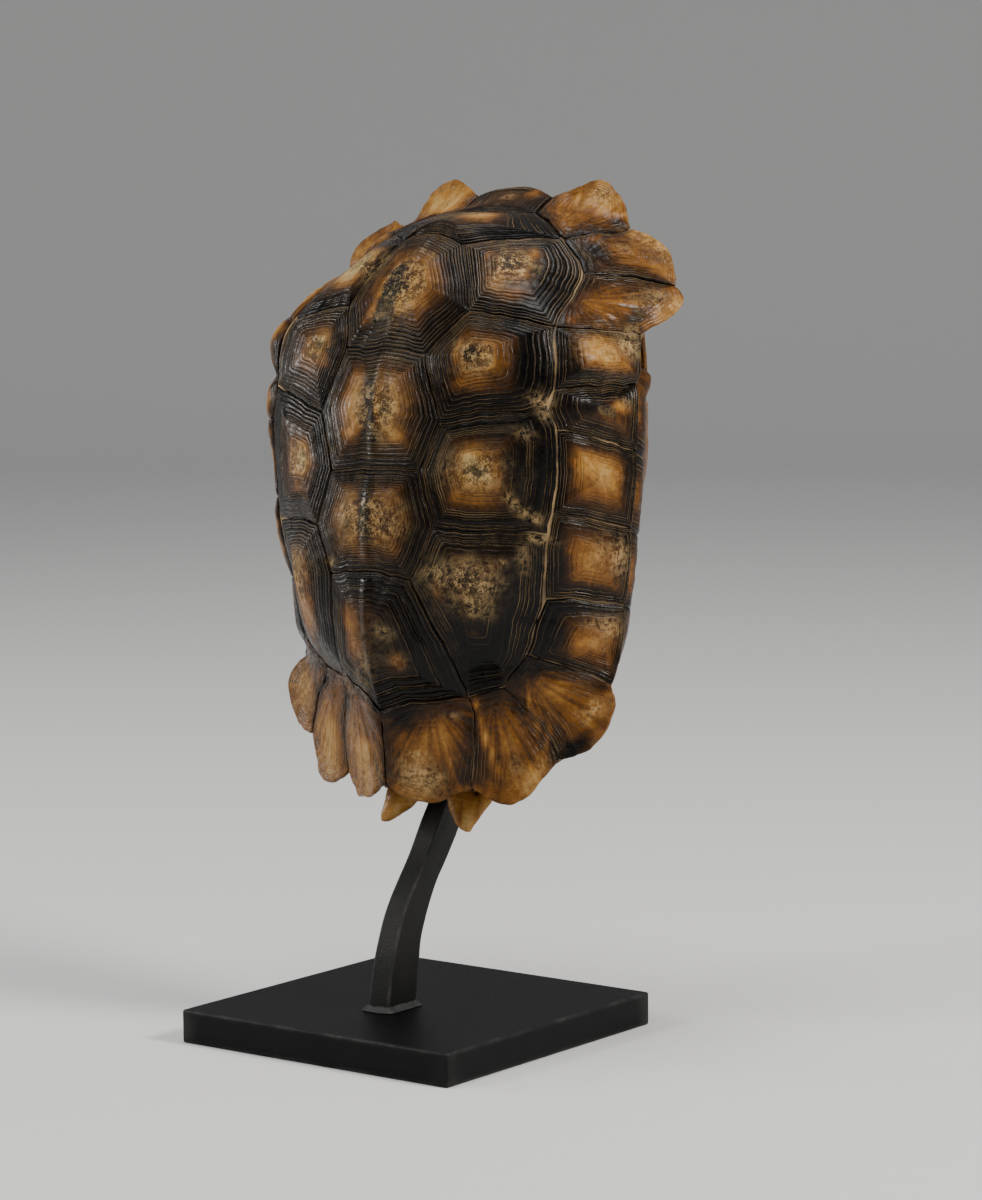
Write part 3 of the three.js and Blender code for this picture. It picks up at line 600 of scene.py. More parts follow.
# Dents and swellings: (row, column, reach in rows, reach in columns, millimetres). A positive
# column means both sides, a negative one the left side only.
DENTS = [
    (7.66, 3.8, 0.13, 0.25, -1.6), (7.78, 4.15, 0.13, 0.3, -2.0), (7.95, 4.6, 0.13, 0.35, -2.0),
    (8.1, 5.0, 0.13, 0.3, -1.6), (8.25, 4.3, 0.22, 0.6, 1.0),
    (7.1, -4.1, 0.6, 0.5, 3.0), (8.45, -4.1, 0.5, 0.55, 4.5), (9.5, -4.1, 0.5, 0.6, 5.5),
    (10.5, -4.0, 0.5, 0.6, 2.5),
]

STEP = 1.6  # mesh spacing round a scute
LOOPS = (0.0, 0.13, 0.36, 0.62, 0.87)  # loops in one growth ring
SPIKE_SHARE = 0.06  # a tooth's half width, as a share of the scute's rim
# Streaks start this share of the scute behind it, and are counted at this radius.
FAN_BACK, FAN_RADIUS = 0.5, 40.0
NET_PITCH = np.array([20.0, 18.0])  # about how far a row and a column of the net reach, in mm


def along_lines(corners, surface):
    points = []
    for p, q in zip(corners, corners[1:] + corners[:1]):
        p, q = np.array(p, float), np.array(q, float)
        length = np.linalg.norm(surface(*q) - surface(*p))
        count = max(2, round(length / STEP))
        points += [p + (q - p) * k / count for k in range(count)]
    return np.array(points)


def carapace_rim(border):
    r, c = border[:, 0], np.abs(border[:, 1])
    return (r < 1e-4) | (r > ROWS - 1e-4) | (c > COLUMNS - 1e-4)


def plastron_rim(border):
    a, share = border[:, 0], np.abs(border[:, 1])
    notch = (a > NOTCH_A - 0.1) & (share * 30 < NOTCH_SLOPE * (a - NOTCH_A) + 0.3)
    return (a < 3.01) | (a > 261.9) | (share > 0.999) | notch


# Point, normal, test for the free rim, and how far a border wavers on that surface.
CARAPACE_SKIN = (carapace_point, carapace_normal, carapace_rim, np.array([0.035, 0.02]))
PLASTRON_SKIN = (plastron_point, plastron_normal, plastron_rim, np.array([0.5, 0.008]))


def height_patches(grid, local, face):
    """Moves the points along face where DENTS says so."""
    for r, c, reach_r, reach_c, amount in DENTS:
        column = grid[..., 1] if c < 0 else np.abs(grid[..., 1])
        q = ((grid[..., 0] - r) / reach_r) ** 2 + ((column - c) / reach_c) ** 2
        local += face * (amount * np.exp(-q))[..., None]


def paint(grid, point, values):
    """Puts the PATCHES on the values of a scute of the carapace."""
    uneven = 1 + 0.5 * noise3(point, 5.0, 40)
    for kind, table in PATCHES.items():
        for r, c, reach_r, reach_c, amount in table:
            off = (grid - [r, c]) / [reach_r, reach_c]
            if (np.abs(off).min(axis=(0, 1)) > 3).any():
                continue
            blob = amount * np.exp(-np.sum(off**2, axis=-1) * uneven * 0.9)
            if kind == "tone":
                values[kind] += blob
            else:
                np.maximum(values[kind], blob, out=values[kind])


def ring_layout(rings, core, rng):
    """Each loop's share of the way to the border, and its phase, 0 at the areola's edge."""
    phases = np.array([k + f for k in range(rings) for f in LOOPS] + [rings - 0.06, rings])
    widths = rng.uniform(0.5, 1.5, rings)
    ring_edges = np.concatenate([[0], np.cumsum(widths)]) / widths.sum()
    even = np.clip(np.interp(phases, np.arange(rings + 1), ring_edges), 0, 1)
    ring_share = 0.8 * even + 0.2 * (1 - (1 - even) ** 1.7)
    inner = np.linspace(0.0, 1.0, 8)[1:-1] * core
    shares = np.concatenate([inner, core + (1 - core) * ring_share])
    return shares, np.concatenate([inner / core - 1.0, phases])


def rim_push(scallop, rim, spokes, border, middle):
    """How far each border point moves so the free rim swells in its middle and dips at the seams.

    scallop is (middle, first seam, last seam, curl outwards, place of the highest point,
    height of a tooth there)."""
    tallest, first, last, curl, peak, spike = scallop
    count = len(rim)
    order = (int(np.flatnonzero(rim & ~np.roll(rim, 1))[0]) + np.arange(count)) % count
    order = order[rim[order]]
    steps = np.linalg.norm(np.diff(spokes[order], axis=0), axis=-1)
    t = np.concatenate([[0], np.cumsum(steps)]) / steps.sum()
    arch = np.clip(np.sin(np.pi * t ** (math.log(0.5) / math.log(peak))), 0, 1) ** 0.6
    ends = first + (last - first) * t
    amount, lift = np.zeros(count), np.zeros(count)
    amount[order] = ends + (tallest - ends) * arch
    amount[order] += spike * np.exp(-(((t - peak) / SPIKE_SHARE) ** 2))
    if curl > 1:
        ragged = 0.55 * noise3(spokes[order], 5.0, 45) + 0.35 * noise3(spokes[order], 1.8, 46)
        amount[order] += ragged
    lift[order] = curl * arch
    inward = border + (middle - border) * 0.12
    out = unit(spokes - carapace_point(inward[:, 0], inward[:, 1]))
    for end, value in ((order[0], first), (order[-1], last)):
        far = np.linalg.norm(spokes - spokes[end], axis=-1)
        fading = np.where(far < 30, value * np.exp(-far / 6.0), 0)
        amount = np.where(rim, amount, fading + amount)
        # A seam's two sides move alike, so the direction there is the rim's, not the spoke's.
        w = np.exp(-((far / 7.0) ** 2))[:, None]
        r, c = border[end]
        on_end = r < 1e-3 or r > ROWS - 1e-3
        back_r = 0.3 * np.sign(r - ROWS / 2) if on_end else 0.0
        back_c = 0.3 * np.sign(c) if abs(c) > COLUMNS - 1e-3 else 0.0
        out = out * (1 - w) + unit(spokes[end] - carapace_point(r - back_r, c - back_c)) * w
    return out * amount[:, None] + carapace_normal(border[:, 0], border[:, 1]) * lift[:, None]


def joined(layers, hubs):
    """The layers' grids as lists, with a point for each hub. A hub is its place and the index of
    the point whose values it takes."""
    table = {key: np.concatenate([flat(layer[key]) for layer in layers]) for key in layers[0]}
    for hub, like in hubs:
        own = {"local": hub, "spoke": hub / 1000}
        for key, values in table.items():
            table[key] = np.concatenate([values, [own.get(key, values[like])]])
    return table


def scute(name, corners, centre, rings, tones, skin=CARAPACE_SKIN, crown=2.0, core=0.28,
          groove=0.46, gap=0.14, seam_drop=1.0, lip=0.0, specks=0.8, lines=1.0, waver=0.25,
          seed=1, inside=0.0, base=0.0, scallop=None, keel=0.0, edge_roll=1.5, edge_drop=1.1,
          fan_height=0.0, rim_tone=None):
    """One horny plate: rings of points from its areola out to its border.

    corners are its border on the surface's own coordinates, tones its shade at TONE_PLACES,
    crown how far the middle stands above the border, and inside the thickness at which its
    inner face closes it, or 0 for an open back."""
    surface, normal, on_rim, border_waver = skin
    border = along_lines(corners, surface)
    count = len(border)
    middle = np.array(centre, float)
    rim = on_rim(border)
    free = rim.astype(float)
    near_rim = free.copy()
    for _ in range(max(4, count // 16)):
        near_rim = (np.roll(near_rim, 1) + 2 * near_rim + np.roll(near_rim, -1)) / 4
    shape = surface(border[:, 0], border[:, 1])
    wobble = np.stack([noise3(shape, 9.0, k) for k in (5, 6)], -1)
    wobble += 0.5 * np.stack([noise3(shape, 3.2, k) for k in (7, 8)], -1)
    border = border + wobble * border_waver * (1 - free[:, None])
    reach = np.linalg.norm(surface(border[:, 0], border[:, 1]) - surface(*middle), axis=-1)
    gaps = gap(border) if callable(gap) else gap
    border = middle + (border - middle) * (1 - gaps / reach * (1 - free))[:, None]
    # A rounded copy of the border shapes the inner rings.
    round_off = border.copy()
    for _ in range(max(2, count // 14)):
        round_off = (np.roll(round_off, 1, 0) + round_off + np.roll(round_off, -1, 0)) / 3
    rng = np.random.default_rng(seed)
    shares, phases = ring_layout(rings, core, rng)
    rows = len(shares)
    spokes = surface(border[:, 0], border[:, 1])
    shift = waver * noise3(spokes, 14.0, seed) + 0.4 * waver * noise3(spokes, 4.0, seed + 3)
    bell = np.sin(np.pi * np.clip(phases / rings, 0, 1))
    ring_places = np.stack(
        np.broadcast_arrays(spokes[:, 0], spokes[:, 1], 9.0 * phases[:, None]), -1)
    wander = 0.5 * waver * noise3(ring_places, 16.0, seed + 9)
    share = shares[:, None] + (shift + wander) * bell[:, None] * (1 - core) / rings
    sharp = smooth(core * 0.6, 0.75, share)[..., None]
    toward = round_off * (1 - sharp) + border * sharp
    grid = middle + (toward - middle) * share[..., None]
    point, face = surface(grid[..., 0], grid[..., 1]), normal(grid[..., 0], grid[..., 1])
    # Relief.
    margin = (1 - share) * reach
    depths = groove * rng.uniform(0.35, 1.3, rings + 1)
    depths[-1] = 0
    depths[0] *= 0.5
    pitch = np.gradient(share * reach, axis=0) / np.gradient(phases)[:, None]
    ring = np.clip(np.round(phases), 0, rings).astype(int)
    away = np.abs(phases - np.round(phases))
    cut = np.where(phases > -0.05, depths[ring] * np.exp(-((away / 0.16) ** 2)), 0)
    swell = 0.35 * groove * np.sin(np.pi * np.mod(np.maximum(phases, 0), 1))
    strength = 0.35 + 0.65 * smooth(0.0, 0.6, np.maximum(phases, 0) / rings)
    soft = 0.75 + 0.5 * noise3(point, 6.0, seed + 20)
    height = base + crown * (1 - share**2) - seam_drop
    height += ((swell - cut) * strength)[:, None] * soft * (1 - 0.7 * smooth(1.9, 3.4, pitch))
    height += lip * np.exp(-(((share - core) / 0.09) ** 2))
    height += 0.35 * noise3(point, 11.0, 31) + 0.16 * noise3(point, 3.0, 32)
    height += 0.14 * noise3(point, 1.4, 33) * smooth(0.1, -0.1, phases)[:, None]
    height += keel * np.exp(-((point[..., 0] / 2.0) ** 2)) * smooth(0.0, 6.0, margin)
    roll = rounding(margin, edge_roll)
    height -= roll * (edge_drop * (1 - free) + 0.5 * inside * free)
    spoke = np.broadcast_to(spokes, point.shape)
    if fan_height:
        # Streaks and pleats run out from a point behind the inner border to the rim.
        inner_side, rim_side = spokes[~rim].mean(0), spokes[rim].mean(0)
        anchor = inner_side + FAN_BACK * (inner_side - rim_side)
        spoke = anchor + unit(point - anchor) * FAN_RADIUS
        pleat = noise3(spoke, 4.5, seed + 41) + 0.5 * noise3(spoke, 1.9, seed + 42)
        height += fan_height * pleat * (1 - 0.6 * roll)
    push = rim_push(scallop, rim, spokes, border, middle) if scallop else np.zeros((count, 3))
    local = point + face * height[..., None] + push * smooth(0.4, 1.0, share)[..., None]
    # Colour.
    tone = np.interp(np.clip(phases / rings, -1, 1), TONE_PLACES, tones)[:, None] + 0 * share
    line = (lines * smooth(-0.05, 0.25, phases))[:, None]
    if rim_tone is not None:
        tone = tone + (rim_tone - tone) * near_rim * smooth(0.2, 0.6, share)
        line = line * (1 - 0.9 * near_rim)
    values = keratin_values(
        tone, spoke / 1000, specks=(specks * smooth(0.12, -0.15, phases))[:, None], lines=line,
        phase=np.maximum(phases, -0.5)[:, None], pitch=pitch)
    if skin is CARAPACE_SKIN:
        height_patches(grid, local, face)
        paint(grid, point, values)
    if rim_tone is not None:
        tone += 0.10 * noise3(spoke, 2.6, seed + 43) + 0.07 * noise3(spoke, 1.0, seed + 44)
    layers = [{"local": local, **values}]
    if inside:
        under = np.linspace(1.0, 0.0, 12)[:-1, None]
        low = middle + (border - middle) * under[..., None]
        p, n = surface(low[..., 0], low[..., 1]), normal(low[..., 0], low[..., 1])
        if skin is CARAPACE_SKIN:
            height_patches(low, p, n)
        turn = rounding((1 - under) * reach, 1.5)
        depth = inside - turn * (0.5 * inside) * free - 0.4 * (1 - free) * turn
        depth = depth + 0.3 * noise3(p, 6.0, 51)
        depth[0] = np.where(rim, 0.5 * inside + 0.02, depth[0])
        shade = tones[-1] * 0.2 + 0.62 - 0.2 * under + 0 * depth
        layers.append({
            "local": p - n * depth[..., None] + push * smooth(0.4, 1.0, under)[..., None],
            **keratin_values(shade, np.broadcast_to(spokes / 1000, p.shape), lines=0.5,
                             phase=under * rings, pitch=1.5)})
    total = sum(len(layer["tone"]) for layer in layers)
    loop, last, hub = np.arange(count), (total - 1) * count, total * count
    foot, up = surface(*middle), normal(*middle)
    hubs = [(foot + up * (base + crown - seam_drop), 0)]
    faces = [grid_faces(total, count, closed=True), fan(loop, hub)[:, ::-1]]
    if inside:
        hubs.append((foot - up * inside, last))
        faces.append(fan(last + loop, hub + 1))
    table = joined(layers, hubs)
    points = table.pop("local")
    faces = facing(faces, points, rows // 2 * count, face[rows // 2, 0])
    return shell_piece(name, points, faces, KERATIN, table)


def mirrored(corners):
    return [(r, -c) for r, c in reversed(corners)]


# Scute borders on the net, as (row, column), following the seams both ways from the keel.
V12 = [(4.02, 0.93), (4.05, 0.3), (4.05, -0.3), (4.03, -0.97)]
V23 = [(6.03, 0.93), (6.0, 0.3), (5.98, -0.3), (5.93, -0.97)]
V34 = [(8.07, 0.82), (8.1, 0.2), (8.1, -0.4), (8.1, -1.05)]
V45 = [(10.5, 0.85), (10.68, 0.53), (10.8, 0.2), (10.83, -0.2), (10.8, -0.8), (10.58, -1.12)]
V5S = [(12.65, 2.0), (12.75, 1.0), (12.78, 0.0), (12.75, -1.0), (12.65, -1.95)]
V1R = [(3.7, 1.12), (3.37, 1.36), (3.05, 1.58), (2.6, 1.75), (2.2, 1.88)]
V1L = [(3.6, -1.1), (3.15, -1.33), (2.75, -1.5)]
J1R, J1L = (1.97, 1.97), (2.42, -1.57)
V1_FRONT = [(1.97, 1.4), (1.95, 0.75), (1.85, 0.4), (1.77, 0.0), (2.03, -0.47), (2.17, -1.1)]
V2R, V2L = (4.95, 1.23), (4.9, -1.36)
V3R, V3L = (6.88, 1.22), (6.97, -1.42)
V4R, V4L = (8.87, 1.47), (8.9, -1.37)
C12R = [(4.93, 1.73), (5.0, 2.67), (5.12, 3.65)]
C23R = [(6.97, 1.63), (7.07, 2.03), (7.13, 2.43), (7.23, 3.0), (7.37, 3.42)]
C34R = [(8.88, 2.2), (8.9, 2.9), (8.87, 3.47)]
C12L = [(4.95, -1.8), (5.0, -2.7), (5.1, -3.6)]
C23L = [(7.1, -1.9), (7.2, -2.3), (7.35, -2.9), (7.5, -3.5)]
C34L = [(8.86, -2.1), (8.86, -2.8), (8.87, -3.4)]
C4R_TOP = [(10.75, 1.4), (10.95, 2.3), (11.0, 3.03)]
C4L_TOP = [(10.8, -1.5), (10.97, -2.3), (11.0, -3.03)]
C1R_SIDE = [(2.07, 2.83), (2.5, 2.95), (2.97, 3.07), (3.33, 3.27), (3.57, 3.47), (3.87, 3.62),
            (4.3, 3.67), (4.8, 3.65)]
C2R_SIDE = [(5.3, 3.65), (5.57, 3.7), (6.13, 3.73), (6.6, 3.7), (7.03, 3.6), (7.2, 3.53)]
C3R_SIDE = [(7.57, 3.52), (8.1, 3.53), (8.75, 3.45)]
C4R_SIDE = [(9.4, 3.42), (9.97, 3.3), (10.5, 3.15)]

VERTEBRALS = {
    1: (V12 + V1L + [J1L] + V1_FRONT[::-1] + [J1R] + V1R[::-1], (3.05, 0.0)),
    2: (V23 + [V2L] + V12[::-1] + [V2R], (5.1, 0.0)),
    3: (V34 + [V3L] + V23[::-1] + [V3R], (7.05, 0.0)),
    4: (V45 + [V4L] + V34[::-1] + [V4R], (9.25, 0.0)),
    5: (V5S + [(11.9, -2.6)] + C4L_TOP[::-1] + V45[::-1] + C4R_TOP + [(11.9, 2.6)], (11.5, 0.1)),
}
C1L_SIDE = [(2.17, -2.77), (2.97, -3.07), (3.6, -3.47), (4.3, -3.67), (4.8, -3.65)]
C2L_SIDE = [(5.57, -3.7), (6.13, -3.73), (6.6, -3.7), (7.1, -3.6)]
C3L_SIDE = [(7.9, -3.55), (8.6, -3.47)]
C4L_SIDE = mirrored(C4R_SIDE)[::-1]
PLEURALS = {
    "1_right": ([V12[0]] + V1R + [J1R] + C1R_SIDE + C12R[::-1] + [V2R], (4.07, 2.0)),
    "2_right": ([V2R] + C12R + C2R_SIDE + C23R[::-1] + [V3R, V23[0]], (6.02, 2.0)),
    "3_right": ([V3R] + C23R + C3R_SIDE + C34R[::-1] + [V4R, V34[0]], (7.97, 1.95)),
    "4_right": ([V4R] + C34R + C4R_SIDE + C4R_TOP[::-1] + [V45[0]], (9.85, 2.0)),
    "1_left": (
        [V12[-1]] + V1L + [J1L, (2.17, -1.77)] + C1L_SIDE + C12L[::-1] + [V2L], (4.05, -2.1)),
    "2_left": ([V2L] + C12L + C2L_SIDE + C23L[::-1] + [V3L, V23[-1]], (6.1, -1.95)),
    "3_left": ([V3L] + C23L + C3L_SIDE + C34L[::-1] + [V4L, V34[-1]], (8.0, -1.93)),
    "4_left": ([V4L] + C34L + C4L_SIDE + C4L_TOP[::-1] + [V45[-1]], (9.87, -1.8)),
}
# Seams between marginals, from the pleurals out to the rim, right side.
M12 = [J1R, (1.67, 2.07), (0.93, 2.03), (0.0, 2.0)]
M23 = [
    (2.07, 2.83), (1.77, 3.13), (1.43, 3.33), (1.1, 3.57), (0.73, 3.77), (0.3, 3.97), (0.0, 4.03),
]
M34 = [(2.97, 3.07), (2.5, 4.03), (1.97, 5.0)]
M45 = [(3.98, 3.65), (4.07, 4.3), (4.13, 5.0)]
M56 = [(5.53, 3.7), (5.6, 4.33), (5.68, 5.0)]
M67 = [(6.98, 3.61), (7.05, 4.37), (7.08, 5.0)]
M78 = [(7.57, 3.52), (7.83, 4.3), (8.1, 5.0)]
M89 = [(8.87, 3.47), (9.0, 4.2), (9.05, 5.0)]
M9A = [(9.97, 3.3), (10.1, 3.9), (10.25, 5.0)]
MAB = [(11.0, 3.03), (11.3, 3.9), (11.95, 5.0)]
MBS = [(12.65, 2.0), (13.3, 2.0), (14.0, 2.0)]
MARGINALS = {
    1: (V1_FRONT[:4] + [(0.9, 0.0), (0.0, 0.0), (0.0, 1.0)] + M12[::-1], (0.55, 0.95)),
    2: (M12 + [(0.0, 3.0)] + M23[::-1], (0.45, 3.05)),
    3: (M23 + [(0.0, 4.6), (0.0, 5.0), (1.0, 5.0)] + M34[::-1], (0.95, 4.5)),
    4: (M34 + [(3.0, 5.0)] + M45[::-1] + [(3.33, 3.27)], (3.15, 4.6)),
    5: (M45 + M56[::-1] + [(4.8, 3.65)], (4.85, 4.45)),
    6: (M56 + M67[::-1] + [(6.13, 3.73)], (6.35, 4.45)),
    7: (M67 + M78[::-1] + [(7.3, 3.45)], (7.5, 4.45)),
    8: (M78 + M89[::-1] + [(8.1, 3.53)], (8.45, 4.45)),
    9: (M89 + [(9.6, 5.0)] + M9A[::-1] + [(9.4, 3.42)], (9.75, 4.3)),
    10: (M9A + [(11.0, 5.0)] + MAB[::-1] + [(10.5, 3.15)], (10.85, 4.2)),
    11: (MAB + [(13.0, 5.0), (14.0, 5.0), (14.0, 3.5)] + MBS[::-1] + [(11.9, 2.6)], (13.0, 3.7)),
}
# The left front differs from the right.
M12_LEFT = [(2.17, -1.77), (1.4, -1.93), (0.7, -2.03), (0.0, -2.07)]
M23_LEFT = [(2.17, -2.77), (1.3, -3.53), (0.8, -3.77), (0.2, -4.03), (0.0, -4.1)]
M34_LEFT = mirrored(M34)[::-1]
LEFT_MARGINALS = {
    1: M12_LEFT[::-1] + [J1L, (2.17, -1.1), (2.03, -0.47), (1.77, 0.0), (0.9, 0.0), (0.0, 0.0),
                         (0.0, -1.0)],
    2: M23_LEFT[::-1] + M12_LEFT + [(0.0, -3.0)],
    3: M34_LEFT[::-1] + M23_LEFT + [(0.0, -4.6), (0.0, -5.0), (1.0, -5.0)],
}


def uneven_gap(border):
    """Between 0.05 and 0.4 mm, changing along the seam."""
    places = np.append(border * 12, 0 * border[:, :1], axis=1)
    return 0.22 + 0.17 * noise3(places, 6.0, 47)


def pleural_gap(border):
    """Wide pale seams under the pleurals' outer edge, narrow ones elsewhere."""
    return 0.14 + uneven_gap(border) * smooth(3.0, 3.3, np.abs(border[:, 1]))


def marginal_gap(border):
    c = np.abs(border[:, 1])
    beside = smooth(3.9, 3.7, c) * smooth(2.6, 3.2, c)
    r = border[:, 0]
    across = 0.45 * smooth(3.8, 4.2, c) * smooth(3.6, 4.0, r) * smooth(7.3, 7.1, r)
    return 0.14 + uneven_gap(border) * np.maximum(beside, across)


# Where a scute's tones stand: -1 is its middle, 0 the areola's edge and 1 its border.
TONE_PLACES = [-1, -0.2, 0.0, 0.12, 0.3, 0.5, 0.7, 1.0]
V_TONES = {
    1: [0.24, 0.28, 0.30, 0.28, 0.20, 0.10, 0.04, 0.02],
    2: [0.62, 0.64, 0.52, 0.46, 0.42, 0.32, 0.07, 0.03],
    3: [0.62, 0.68, 0.54, 0.46, 0.40, 0.30, 0.06, 0.02],
    4: [0.58, 0.60, 0.46, 0.40, 0.34, 0.18, 0.04, 0.02],
    5: [0.22, 0.24, 0.24, 0.20, 0.14, 0.08, 0.04, 0.02],
}
C_TONES = {
    # Pleural 1 is kept darker than the others: partly its own darker colour, partly painted shade
    # on the lower part of the shell, which faces down.
    "1": [0.40, 0.44, 0.38, 0.32, 0.24, 0.12, 0.03, 0.02],
    "2": [0.60, 0.80, 0.54, 0.37, 0.27, 0.15, 0.05, 0.02],
    "3": [0.54, 0.80, 0.56, 0.42, 0.30, 0.16, 0.05, 0.02],
    "4": [0.48, 0.80, 0.58, 0.44, 0.32, 0.16, 0.05, 0.02],
}
FLARED = [0.54, 0.53, 0.52, 0.50, 0.47, 0.42, 0.34, 0.20]
FLARED_LEFT = [0.56, 0.56, 0.55, 0.54, 0.52, 0.49, 0.43, 0.24]
BRIDGING = [0.52, 0.52, 0.51, 0.49, 0.44, 0.34, 0.16, 0.04]
# Rim scallops: (middle, lower seam, upper seam, curl, place of the highest point).
SCALLOPS = {
    1: (2.0, -3.2, -1.6, 1.2, 0.45), 2: (1.8, -1.6, -2.6, 1.4, 0.45),
    3: (2.2, -2.6, -1.4, 1.5, 0.5), 4: (0.5, -1.4, -0.7, 0.2, 0.5),
    5: (0.4, -0.7, -0.7, 0.2, 0.5), 6: (0.4, -0.7, -0.7, 0.2, 0.5),
    7: (-0.4, -0.7, -1.2, 0.0, 0.5), 8: (-0.8, -1.2, -3.4, 0.3, 0.4),
    9: (3.6, -3.4, -1.6, 1.4, 0.6), 10: (4.0, -1.6, -0.8, 1.8, 0.68),
    11: (2.0, -1.6, -2.2, 1.4, 0.4),
}
LEFT_SCALLOPS = {
    1: (2.9, -3.2, -1.6, 1.2, 0.34), 3: (4.2, -2.6, -1.4, 2.5, 0.5),
    8: (4.5, -0.6, 0.5, 6.5, 0.5), 9: (8.0, 0.5, 0.5, 11.0, 0.5), 10: (7.5, 0.5, -0.5, 9.0, 0.5),
}
FLARED_SHAPE = dict(crown=0.2, groove=0.16, edge_roll=0.8, edge_drop=0.5, fan_height=0.5,
                    rim_tone=0.52)
BRIDGING_SHAPE = dict(crown=1.8, groove=0.3)
SPIKE = 3.4  # the tooth on the first left marginal

for key, (corners, centre) in VERTEBRALS.items():
    scute(f"vertebral_{key}", corners, centre, 11, V_TONES[key], crown=2.6, core=0.36,
          keel={1: 1.3, 5: 0.3}.get(key, 0.9), specks=0.1 if key in (1, 5) else 0.8,
          lines=0.6 if key == 1 else 1.0, seed=10 + key)
for k, (key, (corners, centre)) in enumerate(PLEURALS.items()):
    scute(f"pleural_{key}", corners, centre, 11, C_TONES[key[0]], crown=2.8, core=0.26,
          groove=0.22 if key == "1_right" else 0.46, gap=pleural_gap, lip=0.35, seed=30 + k)
for key, (corners, centre) in MARGINALS.items():
    flared = key < 4 or key > 8
    for side in ("right", "left"):
        line, at, scallop = corners, centre, SCALLOPS[key]
        if side == "left":
            line, at = LEFT_MARGINALS.get(key, mirrored(corners)), (centre[0], -centre[1])
            tall, first, last, curl, peak = LEFT_SCALLOPS.get(key, scallop)
            scallop = (tall, last, first, curl, 1 - peak)
        tones = FLARED if flared else BRIDGING
        if side == "left" and key < 4:
            tones = FLARED_LEFT
        scute(f"marginal_{key}_{side}", line, at, 9, tones, core=0.2, gap=marginal_gap,
              specks=0.25, lines=0.8, seed=60 + key, inside=4.4, waver=0.35, seam_drop=0.6,
              scallop=(*scallop, SPIKE if (key, side) == (1, "left") else 0),
              **(FLARED_SHAPE if flared else BRIDGING_SHAPE))
rear = MBS + [(14.0, 1.0), (14.0, 0.0), (14.0, -1.0)] + mirrored(MBS) + V5S[1:-1][::-1]
scute("supracaudal", rear, (13.5, 0.0), 9, [0.34, 0.3, 0.3, 0.28, 0.22, 0.16, 0.1, 0.05],
      crown=1.4, core=0.2, groove=0.25, gap=marginal_gap, specks=0.3, lines=0.9, seed=90,
      inside=4.4, seam_drop=0.6, scallop=(0.8, -2.2, -2.2, 0.8, 0.5, 0))

# ---- Plastron scutes ----
P_TONES = [0.80, 0.80, 0.80, 0.78, 0.76, 0.72, 0.62, 0.45]
THICK, THIN = 7.2, 4.0  # of the plates on the two lobes, and between them
# Right-hand borders as (a, share of the half width), midline first.
HUMERAL_SEAM = [(38, 0), (26, 0.5), (14, 1)]
PECTORAL_SEAM = [(76, 1), (80, 0.5), (80, 0)]
ABDOMINAL_SEAM = [(95, 1), (97, 0.5), (99, 0)]
FEMORAL_SEAM = [(174, 0), (176, 0.5), (180, 1)]
ANAL_SEAM = [(222, 0), (230, 0.5), (238, 1)]
PLASTRALS = {
    "gular": ([(38, 0), (3, 0), (3, 0.5), (3, 1), (14, 1), (26, 0.5)], (14, 0.45), THICK),
    "humeral": (HUMERAL_SEAM + [(30, 1), (50, 1)] + PECTORAL_SEAM, (50, 0.55), THICK),
    "pectoral": (PECTORAL_SEAM[::-1] + ABDOMINAL_SEAM, (88, 0.6), THIN),
    "abdominal": (ABDOMINAL_SEAM[::-1] + [(140, 1)] + FEMORAL_SEAM[::-1], (140, 0.5), THIN),
    "femoral": (FEMORAL_SEAM + [(210, 1)] + ANAL_SEAM[::-1], (200, 0.5), THICK),
    "anal": (ANAL_SEAM + [(250, 1), (262, 1), (262, 0.52), (243, 0)], (244, 0.62), THICK),
}
for k, (key, (corners, centre, thick)) in enumerate(PLASTRALS.items()):
    for side, line, at in (("right", corners, centre),
                           ("left", mirrored(corners), (centre[0], -centre[1]))):
        scute(f"{key}_{side}", line, at, 9, P_TONES, skin=PLASTRON_SKIN, crown=0.5, core=0.16,
              groove=0.16, gap=0.1, specks=0.2, lines=0.55, seed=110 + k, inside=thick,
              waver=0.4, seam_drop=0.6, base=-0.45)


# ---- Bone, bridges and horns ----
def suture(points):
    """Zigzag sutures: two lines each side of the middle and the joints between the rib plates."""
    x, a = points[:, 0], points[:, 1]
    zig = 1.6 * noise3(points, 2.6, 71) + 2.0 * noise3(points, 9.0, 72)
    rib = np.abs(np.mod(a + 0.12 * np.abs(x) + zig, RIB) - RIB / 2)
    lines = [smooth(0.8, 0.2, rib)]
    lines += [smooth(0.9, 0.2, np.abs(np.abs(x) - far - zig)) for far in (15, 78)]
    return np.max(lines, axis=0)


def sheet(name, outer, inner, material=BONE, values=None):
    """A closed sheet between two grids of local points. Bone needs no values."""
    rows, columns = outer.shape[:2]
    points = np.concatenate([flat(outer), flat(inner)])
    n = rows * columns
    edge = outline(rows, columns)
    after = np.roll(edge, -1)
    quads = grid_faces(rows, columns)
    faces = [quads, quads[:, ::-1] + n, np.stack([edge, edge + n, after + n, after], -1)]
    middle = len(quads) // 2
    corner = quads[middle][0]
    faces = facing(faces, points, middle, points[corner] - points[corner + n])
    return shell_piece(name, points, faces, material, values or {"seam": suture(points)})


rr, cc = np.meshgrid(np.linspace(0.07, ROWS - 0.07, 121),
                     np.linspace(-COLUMNS + 0.06, COLUMNS - 0.06, 101), indexing="ij")
shell_face, shell_out = carapace_point(rr, cc), carapace_normal(rr, cc)
side_c = np.abs(cc)


def below_face(depth):
    """The carapace's layer at that depth, with its dents."""
    layer = shell_face - shell_out * np.broadcast_to(depth, rr.shape)[..., None]
    height_patches(np.stack([rr, cc], -1), layer, shell_out)
    return layer


